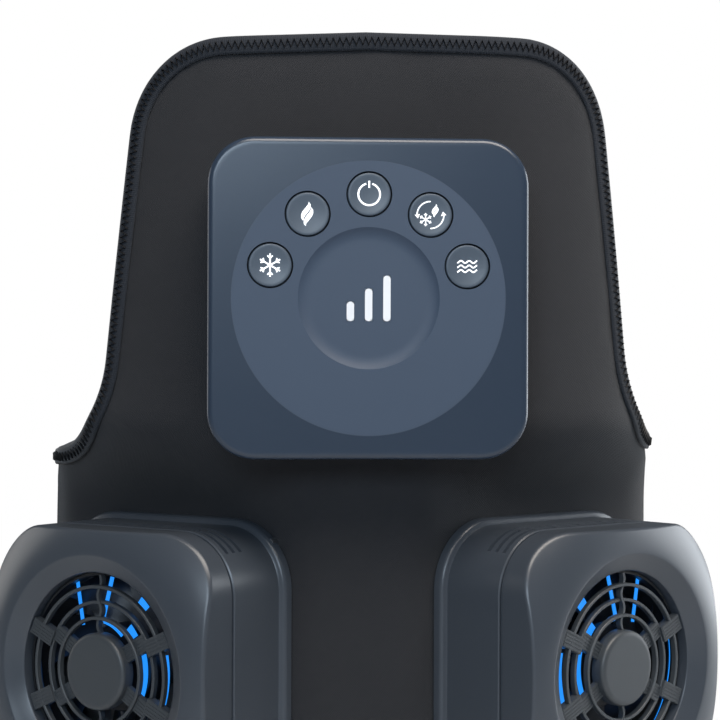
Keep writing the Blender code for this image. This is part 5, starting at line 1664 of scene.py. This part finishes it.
class KNEE_OT_modules(Operator):
    """Make both fan modules"""

    bl_idname = "knee_wrap.modules"
    bl_label = "Fan modules"

    def execute(self, context):
        choices = settings("modules")
        shell = plastic_finish("module shell", tuple(choices.shell_colour), 0.32)
        grille = plastic_finish("grille plastic", tuple(choices.grille_colour), 0.42)
        dark = plastic_finish("fan plastic", tuple(choices.dark_colour), 0.4)
        glow = light_finish("blue light", tuple(choices.glow_colour), choices.glow)
        for name, side in (("left", -1), ("right", 1)):
            make_cover(name, side, choices, shell)
            make_housing(name, side, shell)
            make_trim(name, side, shell)
            make_grille(name, side, grille, dark)
            make_light(name, side, glow)
            make_rotor(name, side, dark)
        return {"FINISHED"}


class KNEE_OT_inside(Operator):
    """Give the frame's own pieces their finishes"""

    bl_idname = "knee_wrap.inside"
    bl_label = "Inner parts"

    def execute(self, context):
        paint_frame(settings("modules"))
        make_foam(frame)
        return {"FINISHED"}


class KNEE_OT_stage(Operator):
    """Make the floor, the lamps, the background and the camera"""

    bl_idname = "knee_wrap.stage"
    bl_label = "Stage"

    def execute(self, context):
        choices = settings("stage")
        make_floor(-TONGUE_TOP - choices.floor_gap)
        make_world(choices.fill)
        make_camera(choices)
        for name, setting, share, *rest in LAMPS:
            lamp(name, getattr(choices, setting) * share, *rest)
        context.scene.view_settings.view_transform = "Standard"
        return {"FINISHED"}


OPERATORS = (KNEE_OT_inside, KNEE_OT_fabric, KNEE_OT_binding, KNEE_OT_straps, KNEE_OT_control,
             KNEE_OT_buttons, KNEE_OT_modules, KNEE_OT_stage)
GROUPS = {"cloth": WrapSettings, "control": ControlSettings, "modules": ModuleSettings,
          "stage": StageSettings}


class KNEE_PT_panel(Panel):
    """The pieces and their settings"""

    bl_idname = "KNEE_PT_panel"
    bl_label = "Knee wrap"
    bl_space_type = "VIEW_3D"
    bl_region_type = "UI"
    bl_category = "Knee wrap"

    def draw(self, context):
        for operator in OPERATORS:
            self.layout.operator(operator.bl_idname)
        for name in GROUPS:
            group = settings(name)
            column = self.layout.box().column()
            for key in group.bl_rna.properties.keys():
                if key not in ("rna_type", "name"):
                    column.prop(group, key)


def register():
    for group in GROUPS.values():
        bpy.utils.register_class(group)
    for name, group in GROUPS.items():
        setattr(bpy.types.Scene, "knee_wrap_" + name, PointerProperty(type=group))
    for operator in OPERATORS:
        bpy.utils.register_class(operator)
    bpy.utils.register_class(KNEE_PT_panel)


def unregister():
    bpy.utils.unregister_class(KNEE_PT_panel)
    for operator in reversed(OPERATORS):
        bpy.utils.unregister_class(operator)
    for name in GROUPS:
        delattr(bpy.types.Scene, "knee_wrap_" + name)
    for group in reversed(list(GROUPS.values())):
        bpy.utils.unregister_class(group)


def main():
    register()
    for operator in OPERATORS:
        group, name = operator.bl_idname.split(".")
        if getattr(getattr(bpy.ops, group), name)() != {"FINISHED"}:
            raise RuntimeError(operator.bl_label + " wasn't made")


if __name__ == "__main__":
    main()
